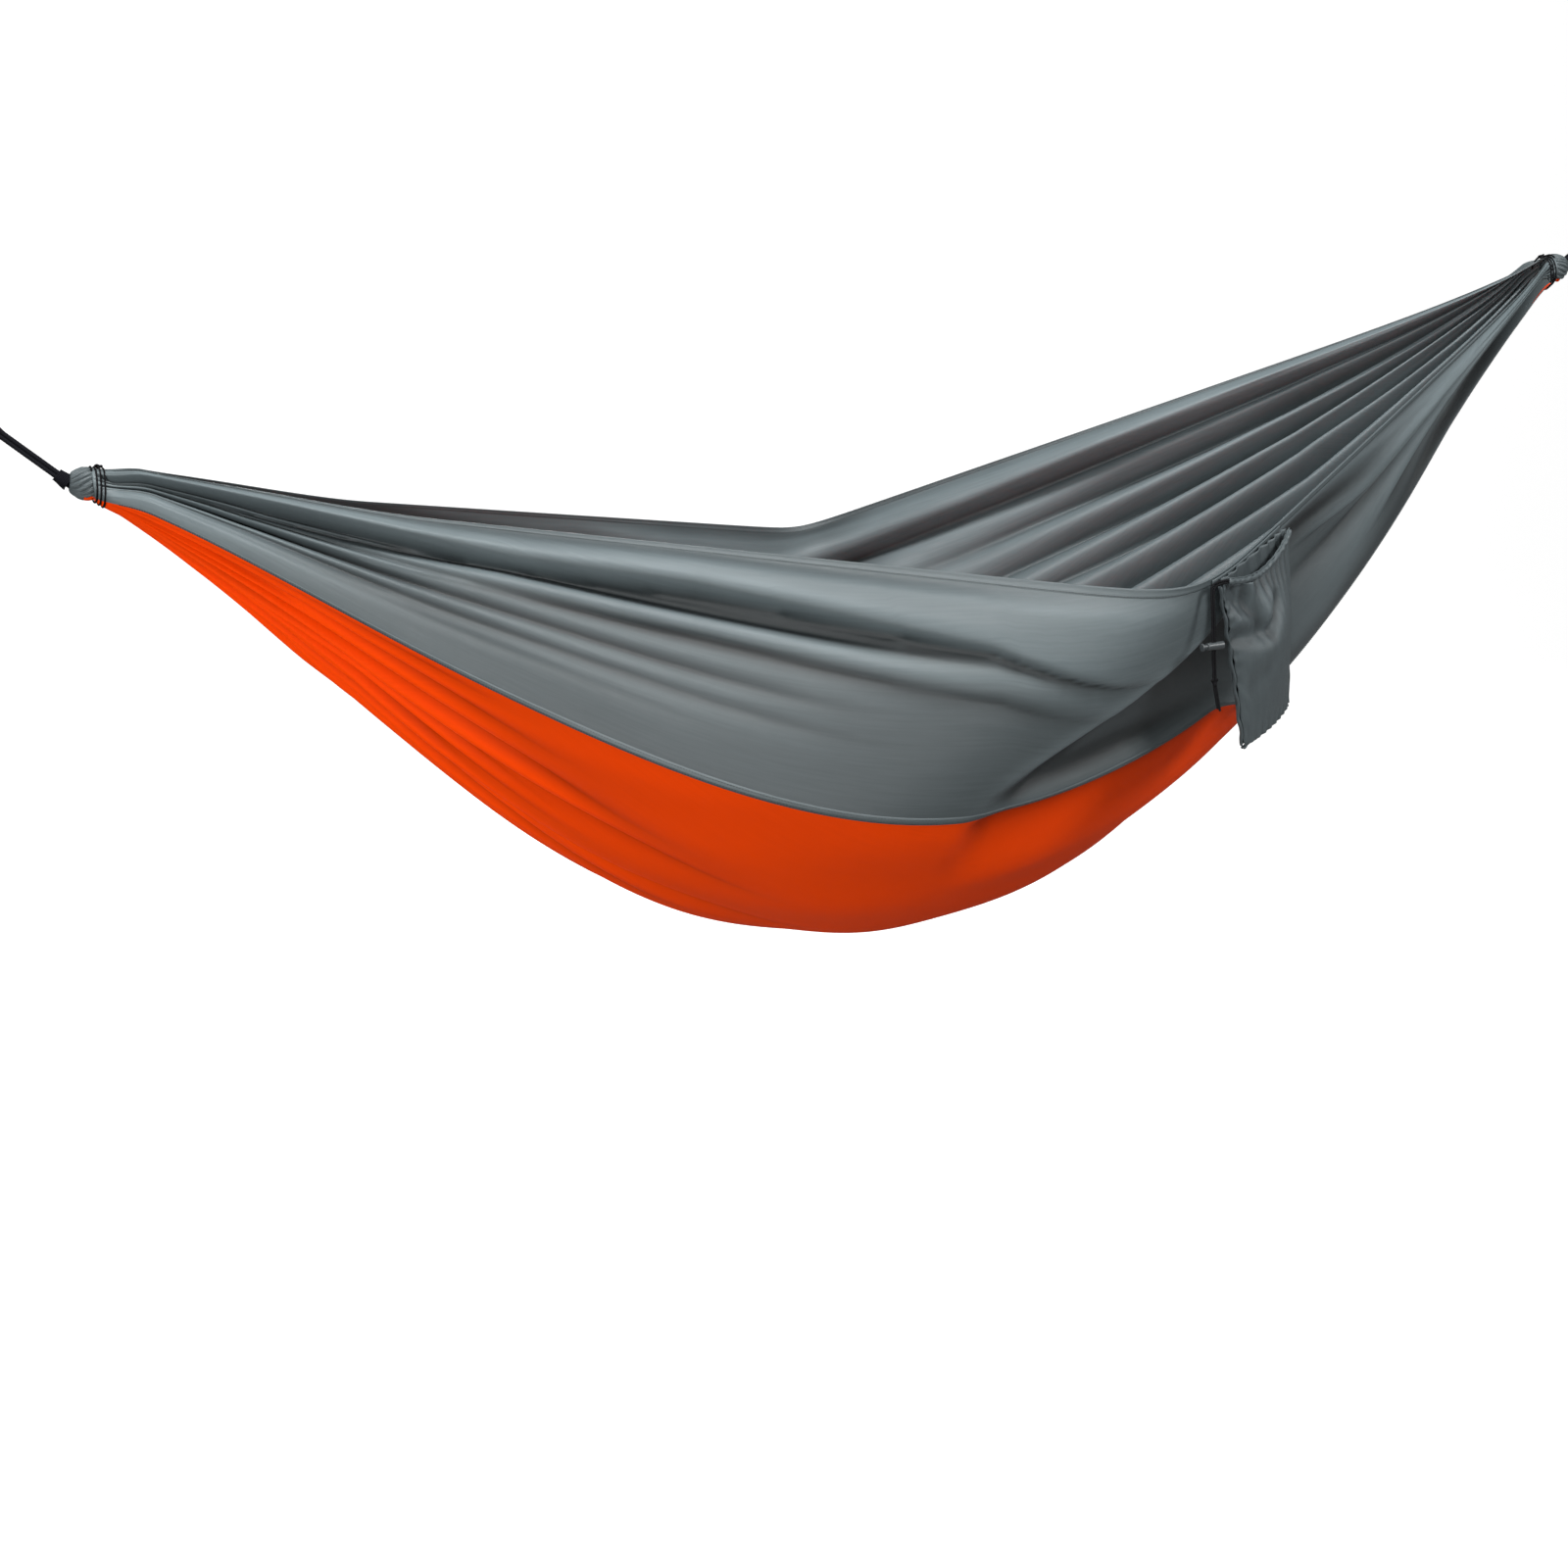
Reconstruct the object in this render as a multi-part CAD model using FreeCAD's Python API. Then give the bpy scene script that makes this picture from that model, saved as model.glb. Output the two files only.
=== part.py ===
"""A double camping hammock with end loops, carabiners and a stuff sack on its near edge, all sizes in millimetres.

The origin is the left hang point, where a tree strap bears in the left carabiner.
+X runs along the hammock to the right hang point, -Y is the side with the stuff sack, and +Z is up.
"""

import FreeCAD, Part
import math
import os

# ---- Driving dimensions -------------------------------------------------------------------------------------------

NECK_SPAN = 2400.0  # level distance between the two gathered necks
NECK_RISE = 130.0  # the right neck hangs this much higher than the left one
POUCH_HALF_WIDTH = 930.0
POUCH_DEPTH = 997.0
POUCH_CENTRE_DROP = 42.0
CLOTH = 1.2  # the cloth's stand-in thickness; the real taffeta is about 0.1
SEAM_WIDTH = 12.0
HEM_WIDTH = 24.0
SEAM_EXTRA = 0.8  # how much thicker a seam is than the cloth, and then a hem
HEM_EXTRA = 1.6

# Lengthwise threads are named by their angle round the pouch: 0 is the keel, positive is the near side.
# Each row: angle, share of the span at which the left end has opened fully, the same for the right end,
# softness of those two shoulders, and the thread's place round the gathered neck, also from the bottom.
FAR_EDGE = (-70.1, 0.573, 0.539, 0.030, -168.0)
KEEL = (0.0, 0.277, 0.603, 0.512, 0.0)
NEAR_SEAM = (59.2, 0.337, 0.522, 0.189, 42.0)
NEAR_EDGE = (76.7, 0.563, 0.474, 0.045, 168.0)
THREADS = (FAR_EDGE, KEEL, NEAR_SEAM, NEAR_EDGE)
FAR_SEAM_ANGLE = -16.0

NECK_RADIUS = 23.0
NECK_FADE = 0.035  # share of the span over which the round neck fades into the pouch
CAP_LENGTH = 34.0
CAP_RADIUS = 25.0
CAP_MOUTH_RADIUS = 13.0
NECK_TILT = 12.0  # degrees that the gathered end points up
WHIPPING_CORD = 2.6
WHIPPING_TURNS = 3
WHIPPING_PITCH = 5.2

LOOP_TILT = 43.0  # degrees that each end loop points up
ROPE = 6.0
LOOP_LENGTH = 128.0  # from the cap's end to the carabiner's bar
COLLAR_LENGTH = 16.0

BAR = 8.0  # the carabiner's steel rod
CARABINER_BOW = 16.0  # radius of its two round ends, at the rod's centre
CARABINER_STRAIGHT = 38.0
GATE = 7.0
RIVET = 3.0
RIVET_INSET = 4.0  # from the end of the straight side to the gate's pivot
HINGE_GAP = 1.6  # room for the gate's heel to swing
NOSE_GAP = 0.6
TONGUE = 3.0
SPRING_BORE = 4.4
RIVET_HEAD = 4.8
SPRING_WIRE = 0.6
SPRING_PITCH = 1.5
GATE_SPRING_RADIUS = 1.5
GATE_SPRING_LENGTH = 9.0
RUNNING_FIT = 0.05
CLEARANCE = 0.4

SACK_FROM = 0.534  # shares of the span between which the sack is sewn to the near edge
SACK_TO = 0.602
SACK_HEIGHT = 238.0
SACK_TAPER = 62.0  # how far the lower left corner is pulled in
SACK_BELLY = 36.0
SACK_CLOTH = 1.4
MOUTH_TUBE = 8.0
MOUTH_BORE = 6.2
BINDING = 5.0
SACK_GAP = 10.0  # from the line between the tape's ends to the back panel; the edge bulges 6 mm past that line
TAPE = 1.6
TAPE_WIDTH = 14.0
TAPE_INSET = 3.0  # below the hammock's edge
MOUTH_SAG = 24.0

DRAWCORD = 2.6
STRAND_APART = 3.0
LOCK_LENGTH = 23.0
LOCK_DIAMETER = 10.0
LOCK_WALL = 1.6
PLUNGER_FIT = 0.1
PLUNGER_OUT = 8.0  # how far the plunger's head stands out
PLUNGER_TRAVEL = 3.5
LOCK_SPRING_RADIUS = 2.1
LOCK_SPRING_LENGTH = 6.0
LOCK_DROP = 78.0  # below the drawcord's exit
KNOT_DROP = 123.0
KNOT = 8.0
TAIL_DROP = 161.0

X = FreeCAD.Vector(1, 0, 0)
Y = FreeCAD.Vector(0, 1, 0)
Z = FreeCAD.Vector(0, 0, 1)


def vec(x, y, z):
    return FreeCAD.Vector(x, y, z)


def tilted(side, degrees):
    """A unit vector that points outwards from one end (side -1 is left, 1 is right) and up by some degrees."""
    a = math.radians(degrees)
    return vec(side * math.cos(a), 0, math.sin(a))


def across(axis):
    """The unit vector square to axis in the XZ plane, turned a quarter turn from +X towards +Z."""
    return vec(-axis.z, 0, axis.x)


# ---- Places that follow from them ---------------------------------------------------------------------------------

CAP_TO_HANG = LOOP_LENGTH + 2 * CARABINER_BOW + CARABINER_STRAIGHT - BAR / 2
LEFT_CAP_END = tilted(-1, LOOP_TILT) * -CAP_TO_HANG
LEFT_NECK = LEFT_CAP_END - tilted(-1, NECK_TILT) * CAP_LENGTH
RIGHT_NECK = LEFT_NECK + vec(NECK_SPAN, 0, NECK_RISE)
RIGHT_CAP_END = RIGHT_NECK + tilted(1, NECK_TILT) * CAP_LENGTH
RIGHT_HANG = RIGHT_CAP_END + tilted(1, LOOP_TILT) * CAP_TO_HANG
ENDS = {
    "left": (-1, LEFT_NECK, LEFT_CAP_END),
    "right": (1, RIGHT_NECK, RIGHT_CAP_END),
}


# ---- The pouch's surface ------------------------------------------------------------------------------------------


def thread_values(angle):
    """Left shoulder, right shoulder, softness and neck angle of the thread at this angle."""
    for low, high in zip(THREADS, THREADS[1:]):
        if angle <= high[0] or high is THREADS[-1]:
            t = (angle - low[0]) / (high[0] - low[0])
            return [a + t * (b - a) for a, b in zip(low[1:], high[1:])]


def opening(s, left, right, softness):
    """How far the section has opened at s along the span: 0 at both necks, 1 at full size."""

    def soft_least(*values):
        return -softness * math.log(sum(math.exp(-v / softness) for v in values))

    end = soft_least(0, 1, 1 / (1 - right))
    return max(0.0, soft_least(s / left, 1, (1 - s) / (1 - right)) - end)


def cloth_point(s, angle):
    """A point on the cloth's middle surface, at s from 0 to 1 along the span."""
    left, right, softness, neck = thread_values(angle)
    g = opening(s, left, right, softness)
    a = math.radians(angle)
    n = math.radians(neck)
    ring = NECK_RADIUS * (math.exp(-s / NECK_FADE) + math.exp((s - 1) / NECK_FADE))
    y = -g * POUCH_HALF_WIDTH * math.sin(a) - ring * math.sin(n)
    z = -g * (POUCH_CENTRE_DROP + POUCH_DEPTH * math.cos(a)) - ring * math.cos(n)
    return LEFT_NECK + (RIGHT_NECK - LEFT_NECK) * s + vec(0, y, z)


def outward(s, angle):
    """The cloth's unit normal at that point, away from the pouch's inside."""
    ds = 0.002
    da = 0.2
    along = cloth_point(min(1, s + ds), angle) - cloth_point(max(0, s - ds), angle)
    round_ = cloth_point(s, min(NEAR_EDGE[0], angle + da)) - cloth_point(s, max(FAR_EDGE[0], angle - da))
    return along.cross(round_).normalize()


def interpolated(rows):
    surface = Part.BSplineSurface()
    surface.interpolate(rows)
    return surface


def solid_between(outer, inner):
    """The closed solid between two grids of points with the same layout."""
    faces = [interpolated(outer), interpolated(inner)]
    borders = []
    for surface in faces:
        u0, u1, v0, v1 = surface.bounds()
        borders.append([surface.uIso(u0), surface.uIso(u1), surface.vIso(v0), surface.vIso(v1)])
    shapes = [f.toShape() for f in faces]
    for a, b in zip(*borders):
        shapes.append(Part.makeRuledSurface(a.toShape(), b.toShape()))
    shell = Part.makeShell(shapes)
    shell.sewShape()
    solid = Part.Solid(shell)
    if solid.Volume < 0:
        solid.reverse()
    return solid


def stations(count):
    """Places along the span, closer together near both necks."""
    found = []
    for i in range(count):
        t = i / (count - 1)
        found.append(t - 0.11 * math.sin(2 * math.pi * t))
    return found


def cloth_strip(start, stop, thickness, columns, rows=45):
    """A strip of cloth between two angles, over the whole span."""
    outer = []
    inner = []
    for s in stations(rows):
        angles = [start + (stop - start) * i / (columns - 1) for i in range(columns)]
        points = [(cloth_point(s, a), outward(s, a)) for a in angles]
        outer.append([p + n * (thickness / 2) for p, n in points])
        inner.append([p - n * (thickness / 2) for p, n in points])
    return solid_between(outer, inner)


def half_angle(width):
    """Half the angle that a strip of this width takes up at the pouch's full section."""
    return math.degrees(width / 2 / POUCH_DEPTH)


def pouch():
    seam = half_angle(SEAM_WIDTH)
    hem = 2 * half_angle(HEM_WIDTH)
    near_seam = NEAR_SEAM[0]
    return {
        "centre_panel": cloth_strip(FAR_SEAM_ANGLE + seam, near_seam - seam, CLOTH, 15),
        "near_side_panel": cloth_strip(near_seam + seam, NEAR_EDGE[0] - hem, CLOTH, 7),
        "far_side_panel": cloth_strip(FAR_EDGE[0] + hem, FAR_SEAM_ANGLE - seam, CLOTH, 11),
        "near_seam": cloth_strip(near_seam - seam, near_seam + seam, CLOTH + SEAM_EXTRA, 3),
        "far_seam": cloth_strip(FAR_SEAM_ANGLE - seam, FAR_SEAM_ANGLE + seam, CLOTH + SEAM_EXTRA, 3),
        "near_edge_hem": cloth_strip(NEAR_EDGE[0] - hem, NEAR_EDGE[0], CLOTH + HEM_EXTRA, 4),
        "far_edge_hem": cloth_strip(FAR_EDGE[0], FAR_EDGE[0] + hem, CLOTH + HEM_EXTRA, 4),
    }


# ---- Gathered ends, whippings and end loops -----------------------------------------------------------------------


def turned(outline, centre, axis):
    """A solid of revolution: outline is a list of (distance along axis, radius)."""
    points = [centre + axis * x + Y * r for x, r in outline]
    points.append(points[0])
    face = Part.Face(Part.makePolygon(points))
    return face.revolve(centre, axis, 360)


def barrel(centre, axis, length, radii):
    """A rounded barrel whose radius runs smoothly through radii, from its base to its end."""
    step = length / (len(radii) - 1)
    points = [centre + axis * (i * step) + Y * r for i, r in enumerate(radii)]
    curve = Part.BSplineCurve()
    curve.interpolate(points)
    end = centre + axis * length
    rim = Part.makePolygon([points[-1], end, centre, points[0]])
    face = Part.Face(Part.Wire([curve.toShape()] + rim.Edges))
    return face.revolve(centre, axis, 360)


def end_channel(side, neck):
    """The sewn end channel, gathered tight on the rope outside the whipping."""
    axis = tilted(side, NECK_TILT)
    start = WHIPPING_TURNS * WHIPPING_PITCH / 2 + 2
    radii = (NECK_RADIUS, CAP_RADIUS, 0.96 * CAP_RADIUS, 0.8 * CAP_RADIUS, CAP_MOUTH_RADIUS)
    return barrel(neck + axis * start, axis, CAP_LENGTH - start, radii)


def whipping(side, neck):
    """Three turns of cord that hold the gathered cloth, and the knot that ends them."""
    axis = tilted(side, NECK_TILT)
    ring = NECK_RADIUS + CLOTH / 2 + WHIPPING_CORD / 2 - 0.4
    turns = []
    for i in range(WHIPPING_TURNS):
        at = neck + axis * ((i - (WHIPPING_TURNS - 1) / 2) * WHIPPING_PITCH)
        turns.append(Part.makeTorus(ring, WHIPPING_CORD / 2, at, axis))
    return Part.makeCompound(turns)


def racetrack(centre_a, radius_a, centre_b, radius_b, ahead):
    """A closed path round two circles in the XZ plane, with straight tangents between them. ahead points from a to b."""
    gap = (centre_b - centre_a).Length
    lean = math.asin((radius_b - radius_a) / gap)
    side = across(ahead)
    up = side * math.cos(lean) - ahead * math.sin(lean)
    down = side * -math.cos(lean) - ahead * math.sin(lean)
    a_up = centre_a + up * radius_a
    a_down = centre_a + down * radius_a
    b_up = centre_b + up * radius_b
    b_down = centre_b + down * radius_b
    edges = [
        Part.LineSegment(a_up, b_up),
        Part.Arc(b_up, centre_b + ahead * radius_b, b_down),
        Part.LineSegment(b_down, a_down),
        Part.Arc(a_down, centre_a - ahead * radius_a, a_up),
    ]
    return [e.toShape() for e in edges]


def tube(edges, diameter):
    """A round tube along edges that join end to end with no corner."""
    path = Part.Wire(edges)
    start = edges[0].valueAt(edges[0].FirstParameter)
    along = edges[0].tangentAt(edges[0].FirstParameter)
    profile = Part.Wire(Part.makeCircle(diameter / 2, start, along))
    return path.makePipeShell([profile], True, False)


def bar_centre(side, cap_end):
    """Centre of the carabiner's lower bow, on the rod, where the loop bears."""
    return cap_end + tilted(side, LOOP_TILT) * LOOP_LENGTH


def end_loop(side, cap_end):
    """The rope loop: its lower bight lies inside the end channel, and its upper one round the carabiner's bar."""
    ahead = tilted(side, LOOP_TILT)
    bight = BAR / 2 + ROPE / 2 + CLEARANCE
    lower = ROPE / 2 + CLEARANCE
    return tube(racetrack(cap_end - ahead * 12, lower, bar_centre(side, cap_end), bight, ahead), ROPE)


def loop_collar(side, cap_end):
    """The bound collar where both legs of the loop leave the end channel."""
    ahead = tilted(side, LOOP_TILT)
    outline = [(-7, 0), (-7, CAP_MOUTH_RADIUS), (0, CAP_MOUTH_RADIUS - 1.5), (COLLAR_LENGTH, 7.5), (COLLAR_LENGTH, 0)]
    return turned(outline, cap_end, ahead)


def gathered_ends():
    found = {}
    for name, (side, neck, cap_end) in ENDS.items():
        found[name + "_end_channel"] = end_channel(side, neck)
        found[name + "_whipping"] = whipping(side, neck)
        found[name + "_end_loop"] = end_loop(side, cap_end)
        found[name + "_loop_collar"] = loop_collar(side, cap_end)
    return found


# ---- Carabiners ---------------------------------------------------------------------------------------------------


class Plane:
    """The carabiner's own axes: along its length, sideways, and square to its plane."""

    def __init__(self, side, cap_end):
        self.ahead = tilted(side, LOOP_TILT)
        self.middle = bar_centre(side, cap_end) + self.ahead * (CARABINER_BOW + CARABINER_STRAIGHT / 2)
        self.normal = across(self.ahead)

    def at(self, along, sideways, out=0.0):
        return self.middle + self.ahead * along + Y * sideways + self.normal * out


def carabiner_frame(plane):
    """The bent rod, with a flat tongue at the gate's hinge and another at its nose."""
    half = CARABINER_STRAIGHT / 2
    bow = CARABINER_BOW
    path = [
        Part.Arc(plane.at(-half, -bow), plane.at(-half - bow, 0), plane.at(-half, bow)),
        Part.LineSegment(plane.at(-half, bow), plane.at(half, bow)),
        Part.Arc(plane.at(half, bow), plane.at(half + bow, 0), plane.at(half, -bow)),
    ]
    rod = tube([e.toShape() for e in path], BAR)
    hinge_tongue = slab(plane, -half - 1, -half + RIVET_INSET + 2.5, -bow - 2.6, -bow + 2.6, TONGUE)
    nose_tongue = slab(plane, half - 4, half + 1, -bow - 2.4, -bow + 2.4, TONGUE)
    bore = Part.makeCylinder(RIVET / 2, 2 * BAR, plane.at(-half + RIVET_INSET, -bow, -BAR), plane.normal)
    return rod.fuse(hinge_tongue).fuse(nose_tongue).cut(bore)


def slab(plane, along_a, along_b, side_a, side_b, thickness):
    """A flat plate in the carabiner's plane, of this thickness across it."""
    corners = [(along_a, side_a), (along_b, side_a), (along_b, side_b), (along_a, side_b), (along_a, side_a)]
    face = Part.Face(Part.makePolygon([plane.at(a, s, -thickness / 2) for a, s in corners]))
    return face.extrude(plane.normal * thickness)


def carabiner_gate(plane):
    """The gate: a rod forked over the hinge tongue and over the nose tongue, with a bore for its spring."""
    half = CARABINER_STRAIGHT / 2
    bow = CARABINER_BOW
    length = CARABINER_STRAIGHT - HINGE_GAP - NOSE_GAP
    rod = Part.makeCylinder(GATE / 2, length, plane.at(-half + HINGE_GAP, -bow), plane.ahead)
    slot = TONGUE + 0.5
    hinge_slot = slab(plane, -half - 1, -half + RIVET_INSET + 4.5, -bow - GATE, -bow + GATE, slot)
    nose_slot = slab(plane, half - 5.5, half + 1, -bow - GATE, -bow + GATE, slot)
    pivot = Part.makeCylinder(RIVET / 2 + RUNNING_FIT, 2 * BAR, plane.at(-half + RIVET_INSET, -bow, -BAR), plane.normal)
    bore = Part.makeCylinder(SPRING_BORE / 2, 13, plane.at(-half + RIVET_INSET + 4, -bow), plane.ahead)
    return rod.cut(hinge_slot).cut(nose_slot).cut(pivot).cut(bore)


def gate_rivet(plane):
    """The hinge pin, headed over both cheeks of the gate's fork."""
    half = CARABINER_STRAIGHT / 2
    cheek = GATE / 2 + 0.1
    shaft = Part.makeCylinder(RIVET / 2, 2 * cheek, plane.at(-half + RIVET_INSET, -CARABINER_BOW, -cheek), plane.normal)
    heads = []
    for sign in (-1, 1):
        foot = plane.at(-half + RIVET_INSET, -CARABINER_BOW, sign * cheek)
        heads.append(Part.makeCone(RIVET_HEAD / 2, RIVET / 2, 0.9, foot, plane.normal * sign))
    return shaft.fuse(heads[0]).fuse(heads[1])


def coil(foot, axis, radius, length):
    """An open coil spring on an axis."""
    helix = Part.makeHelix(SPRING_PITCH, length, radius)
    start = helix.Edges[0].valueAt(helix.Edges[0].FirstParameter)
    along = helix.Edges[0].tangentAt(helix.Edges[0].FirstParameter)
    profile = Part.Wire(Part.makeCircle(SPRING_WIRE / 2, start, along))
    spring = Part.Wire(helix.Edges).makePipeShell([profile], True, True)
    spring.Placement = FreeCAD.Placement(foot, FreeCAD.Rotation(Z, axis))
    return spring


def gate_spring(plane):
    """The small coil that pushes the gate shut, inside the gate's bore."""
    half = CARABINER_STRAIGHT / 2
    foot = plane.at(-half + RIVET_INSET + 5.4, -CARABINER_BOW)
    return coil(foot, plane.ahead, GATE_SPRING_RADIUS, GATE_SPRING_LENGTH)


def carabiners():
    found = {}
    for name, (side, neck, cap_end) in ENDS.items():
        plane = Plane(side, cap_end)
        found[name + "_carabiner_frame"] = carabiner_frame(plane)
        found[name + "_carabiner_gate"] = carabiner_gate(plane)
        found[name + "_gate_rivet"] = gate_rivet(plane)
        found[name + "_gate_spring"] = gate_spring(plane)
    return found


# ---- Stuff sack ---------------------------------------------------------------------------------------------------

SACK_LEFT = cloth_point(SACK_FROM, NEAR_EDGE[0])
SACK_RIGHT = cloth_point(SACK_TO, NEAR_EDGE[0])
SACK_ALONG = (SACK_RIGHT - SACK_LEFT).normalize()
SACK_WIDTH = (SACK_RIGHT - SACK_LEFT).Length
SACK_OUT = vec(SACK_ALONG.y, -SACK_ALONG.x, 0).normalize()


def sack_point(u, v, out):
    """A point on the sack: u across it from 0 to 1, v down it from 0 to 1, out away from the hammock."""
    inset = SACK_TAPER * v * (1 - u)
    top = SACK_LEFT + SACK_ALONG * (u * SACK_WIDTH + inset)
    return top + SACK_OUT * (SACK_GAP + out) - Z * (v * SACK_HEIGHT + 6)


def belly(u, v):
    """How far the front panel stands off the back one."""
    return SACK_BELLY * math.sin(math.pi * u) ** 0.7 * (1 - 0.75 * v ** 2) * (0.35 + 0.65 * min(1.0, 2.2 * v + 0.5))


def mouth_drop(u):
    """How far the front panel's drawn mouth sags below the back panel's top, as a share of the height."""
    return MOUTH_SAG / SACK_HEIGHT * math.sin(math.pi * u)


def sack_panel(front, columns=11, rows=11):
    """The front or the back panel."""
    outer = []
    inner = []
    for j in range(rows):
        line_out = []
        line_in = []
        for i in range(columns):
            u = 0.03 + 0.94 * i / (columns - 1)
            v = j / (rows - 1)
            if front:
                v = mouth_drop(u) + 0.02 + v * (0.97 - mouth_drop(u))
            off = SACK_CLOTH + 1.5 + belly(u, v) if front else 0.0
            line_out.append(sack_point(u, v, off + SACK_CLOTH / 2))
            line_in.append(sack_point(u, v, off - SACK_CLOTH / 2))
        outer.append(line_out)
        inner.append(line_in)
    return solid_between(outer, inner)


def rounded_route(points):
    """Straight runs joined by tangent arcs, each as large as its two runs allow. Returns the edges and the radii."""
    edges = []
    radii = []
    at = points[0]
    for before, corner, after in zip(points, points[1:], points[2:]):
        back = (before - corner).normalize()
        ahead = (after - corner).normalize()
        turn = math.pi - back.getAngle(ahead)
        reach = 0.45 * min((before - corner).Length, (after - corner).Length)
        radius = reach / math.tan(turn / 2)
        start = corner + back * reach
        stop = corner + ahead * reach
        middle = corner + (back + ahead).normalize() * (math.hypot(reach, radius) - radius)
        edges.append(Part.LineSegment(at, start).toShape())
        edges.append(Part.Arc(start, middle, stop).toShape())
        radii.append(round(radius, 1))
        at = stop
    edges.append(Part.LineSegment(at, points[-1]).toShape())
    return edges, radii


def routed_tube(points, diameter):
    return tube(rounded_route(points)[0], diameter)


def mouth_line(shift=0.0):
    """The line of the drawcord's channel along the front panel's mouth, moved up by shift."""
    line = []
    for i in range(9):
        u = 0.05 + 0.9 * i / 8
        v = mouth_drop(u)
        line.append(sack_point(u, v - 0.012, SACK_CLOTH + 1.5 + belly(u, v)) + Z * shift)
    return line


def mouth_channel():
    """The hollow hem that the drawcord runs through."""
    return routed_tube(mouth_line(), MOUTH_TUBE).cut(routed_tube(mouth_line(), MOUTH_BORE))


def drawcord_in_channel():
    """The two passes of the drawcord inside the mouth's channel."""
    passes = [routed_tube(mouth_line(shift), DRAWCORD) for shift in (-STRAND_APART / 2, STRAND_APART / 2)]
    return Part.makeCompound(passes)


def side_binding(u):
    """The bound side seam that joins the two panels."""
    points = [sack_point(u, 0.03 + 0.95 * i / 4, 1.5 + 2 * math.sin(math.pi * i / 4)) for i in range(5)]
    return routed_tube(points, BINDING)


def bottom_binding():
    points = []
    for i in range(5):
        u = 0.04 + 0.92 * i / 4
        points.append(sack_point(u, 1.0, 1.5 + 0.25 * belly(u, 1.0)))
    return routed_tube(points, BINDING)


def sack_tape():
    """The strip that is sewn to the hammock's near edge and carries the sack."""
    outer = []
    inner = []
    hem_face = (CLOTH + HEM_EXTRA) / 2
    for j in range(3):
        line_out = []
        line_in = []
        angle = NEAR_EDGE[0] - 2 * half_angle(TAPE_INSET + TAPE_WIDTH * j / 2)
        for i in range(7):
            s = SACK_FROM + (SACK_TO - SACK_FROM) * (0.03 + 0.94 * i / 6)
            point = cloth_point(s, angle)
            normal = outward(s, angle)
            line_out.append(point + normal * (hem_face + TAPE))
            line_in.append(point + normal * hem_face)
        outer.append(line_out)
        inner.append(line_in)
    return solid_between(outer, inner)


# ---- Drawcord and cord lock ---------------------------------------------------------------------------------------

CORD_LINE = SACK_LEFT + vec(-7, -18, 0)  # the drawcord hangs down this line, clear of the sack


def strand_route(sign):
    """One strand's points: out of the channel, over and down, through the cord lock and the knot, to its cut end."""
    exit_point = mouth_line(-sign * STRAND_APART / 2)[0]
    top = exit_point.z
    x = CORD_LINE.x
    y = CORD_LINE.y
    half = STRAND_APART / 2
    return [
        exit_point,
        vec(x + 3.0 + sign * half, y + 4.0, top + 1.5),
        vec(x - 0.6 + sign * half, y + 0.6, top - 14.0),
        vec(x + sign * half, y, top - 34.0),
        vec(x + sign * half, y - 0.2, top - KNOT_DROP),
        vec(x + 2.0 + sign * half, y - 0.6, top - KNOT_DROP - 16.0),
        vec(x + 6.5 + sign * half, y + 0.5, top - TAIL_DROP),
    ]


LOCK_CENTRE = vec(CORD_LINE.x, CORD_LINE.y - 0.1, mouth_line()[0].z - LOCK_DROP)
KNOT_CENTRE = vec(CORD_LINE.x, CORD_LINE.y - 0.2, mouth_line()[0].z - KNOT_DROP)


def drawcord_knot():
    """The overhand knot that keeps the cord lock on."""
    start = KNOT_CENTRE + Z * (KNOT / 2 + 1)
    radii = (2.2, 3.9, KNOT / 2 + 0.6, 3.9, 2.2)
    return barrel(start, -Z, KNOT + 2, radii)


def rounded_slot(centre, length, width, height):
    """A vertical slot with round ends along X, centred on a point."""
    block = Part.makeBox(length - width, width, height, centre - vec((length - width) / 2, width / 2, height / 2))
    slot = block
    for sign in (-1, 1):
        foot = centre + vec(sign * (length - width) / 2, 0, -height / 2)
        slot = slot.fuse(Part.makeCylinder(width / 2, height, foot, Z))
    return slot


def cord_lock_barrel():
    """The lock's barrel, closed at its right end, with a slot for both strands."""
    left = LOCK_CENTRE - X * (LOCK_LENGTH / 2 - 2)
    body = Part.makeCylinder(LOCK_DIAMETER / 2, LOCK_LENGTH, left, X)
    rims = [e for e in body.Edges if e.Curve.TypeId == "Part::GeomCircle"]
    body = body.makeFillet(0.8, rims)
    bore = Part.makeCylinder(LOCK_DIAMETER / 2 - LOCK_WALL, LOCK_LENGTH - LOCK_WALL, left, X)
    slot = rounded_slot(LOCK_CENTRE, 2 * DRAWCORD + 2.0, DRAWCORD + 0.8, 2 * LOCK_DIAMETER)
    return body.cut(bore).cut(slot)


def cord_lock_plunger():
    """The sprung plunger: its own slot is longer than the barrel's by its travel."""
    radius = LOCK_DIAMETER / 2 - LOCK_WALL - PLUNGER_FIT
    left = LOCK_CENTRE - X * (LOCK_LENGTH / 2 - 2)
    shaft = Part.makeCylinder(radius, PLUNGER_OUT + 14, left - X * PLUNGER_OUT, X)
    head = Part.makeCylinder(LOCK_DIAMETER / 2, 2.6, left - X * PLUNGER_OUT, X)
    rims = [e for e in head.Edges if e.Curve.TypeId == "Part::GeomCircle"]
    slot_length = 2 * DRAWCORD + 1.2 + PLUNGER_TRAVEL
    centre = LOCK_CENTRE - X * (PLUNGER_TRAVEL / 2)
    slot = rounded_slot(centre, slot_length, DRAWCORD + 0.8, 2 * LOCK_DIAMETER)
    return shaft.fuse(head.makeFillet(0.7, rims)).cut(slot)


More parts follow.
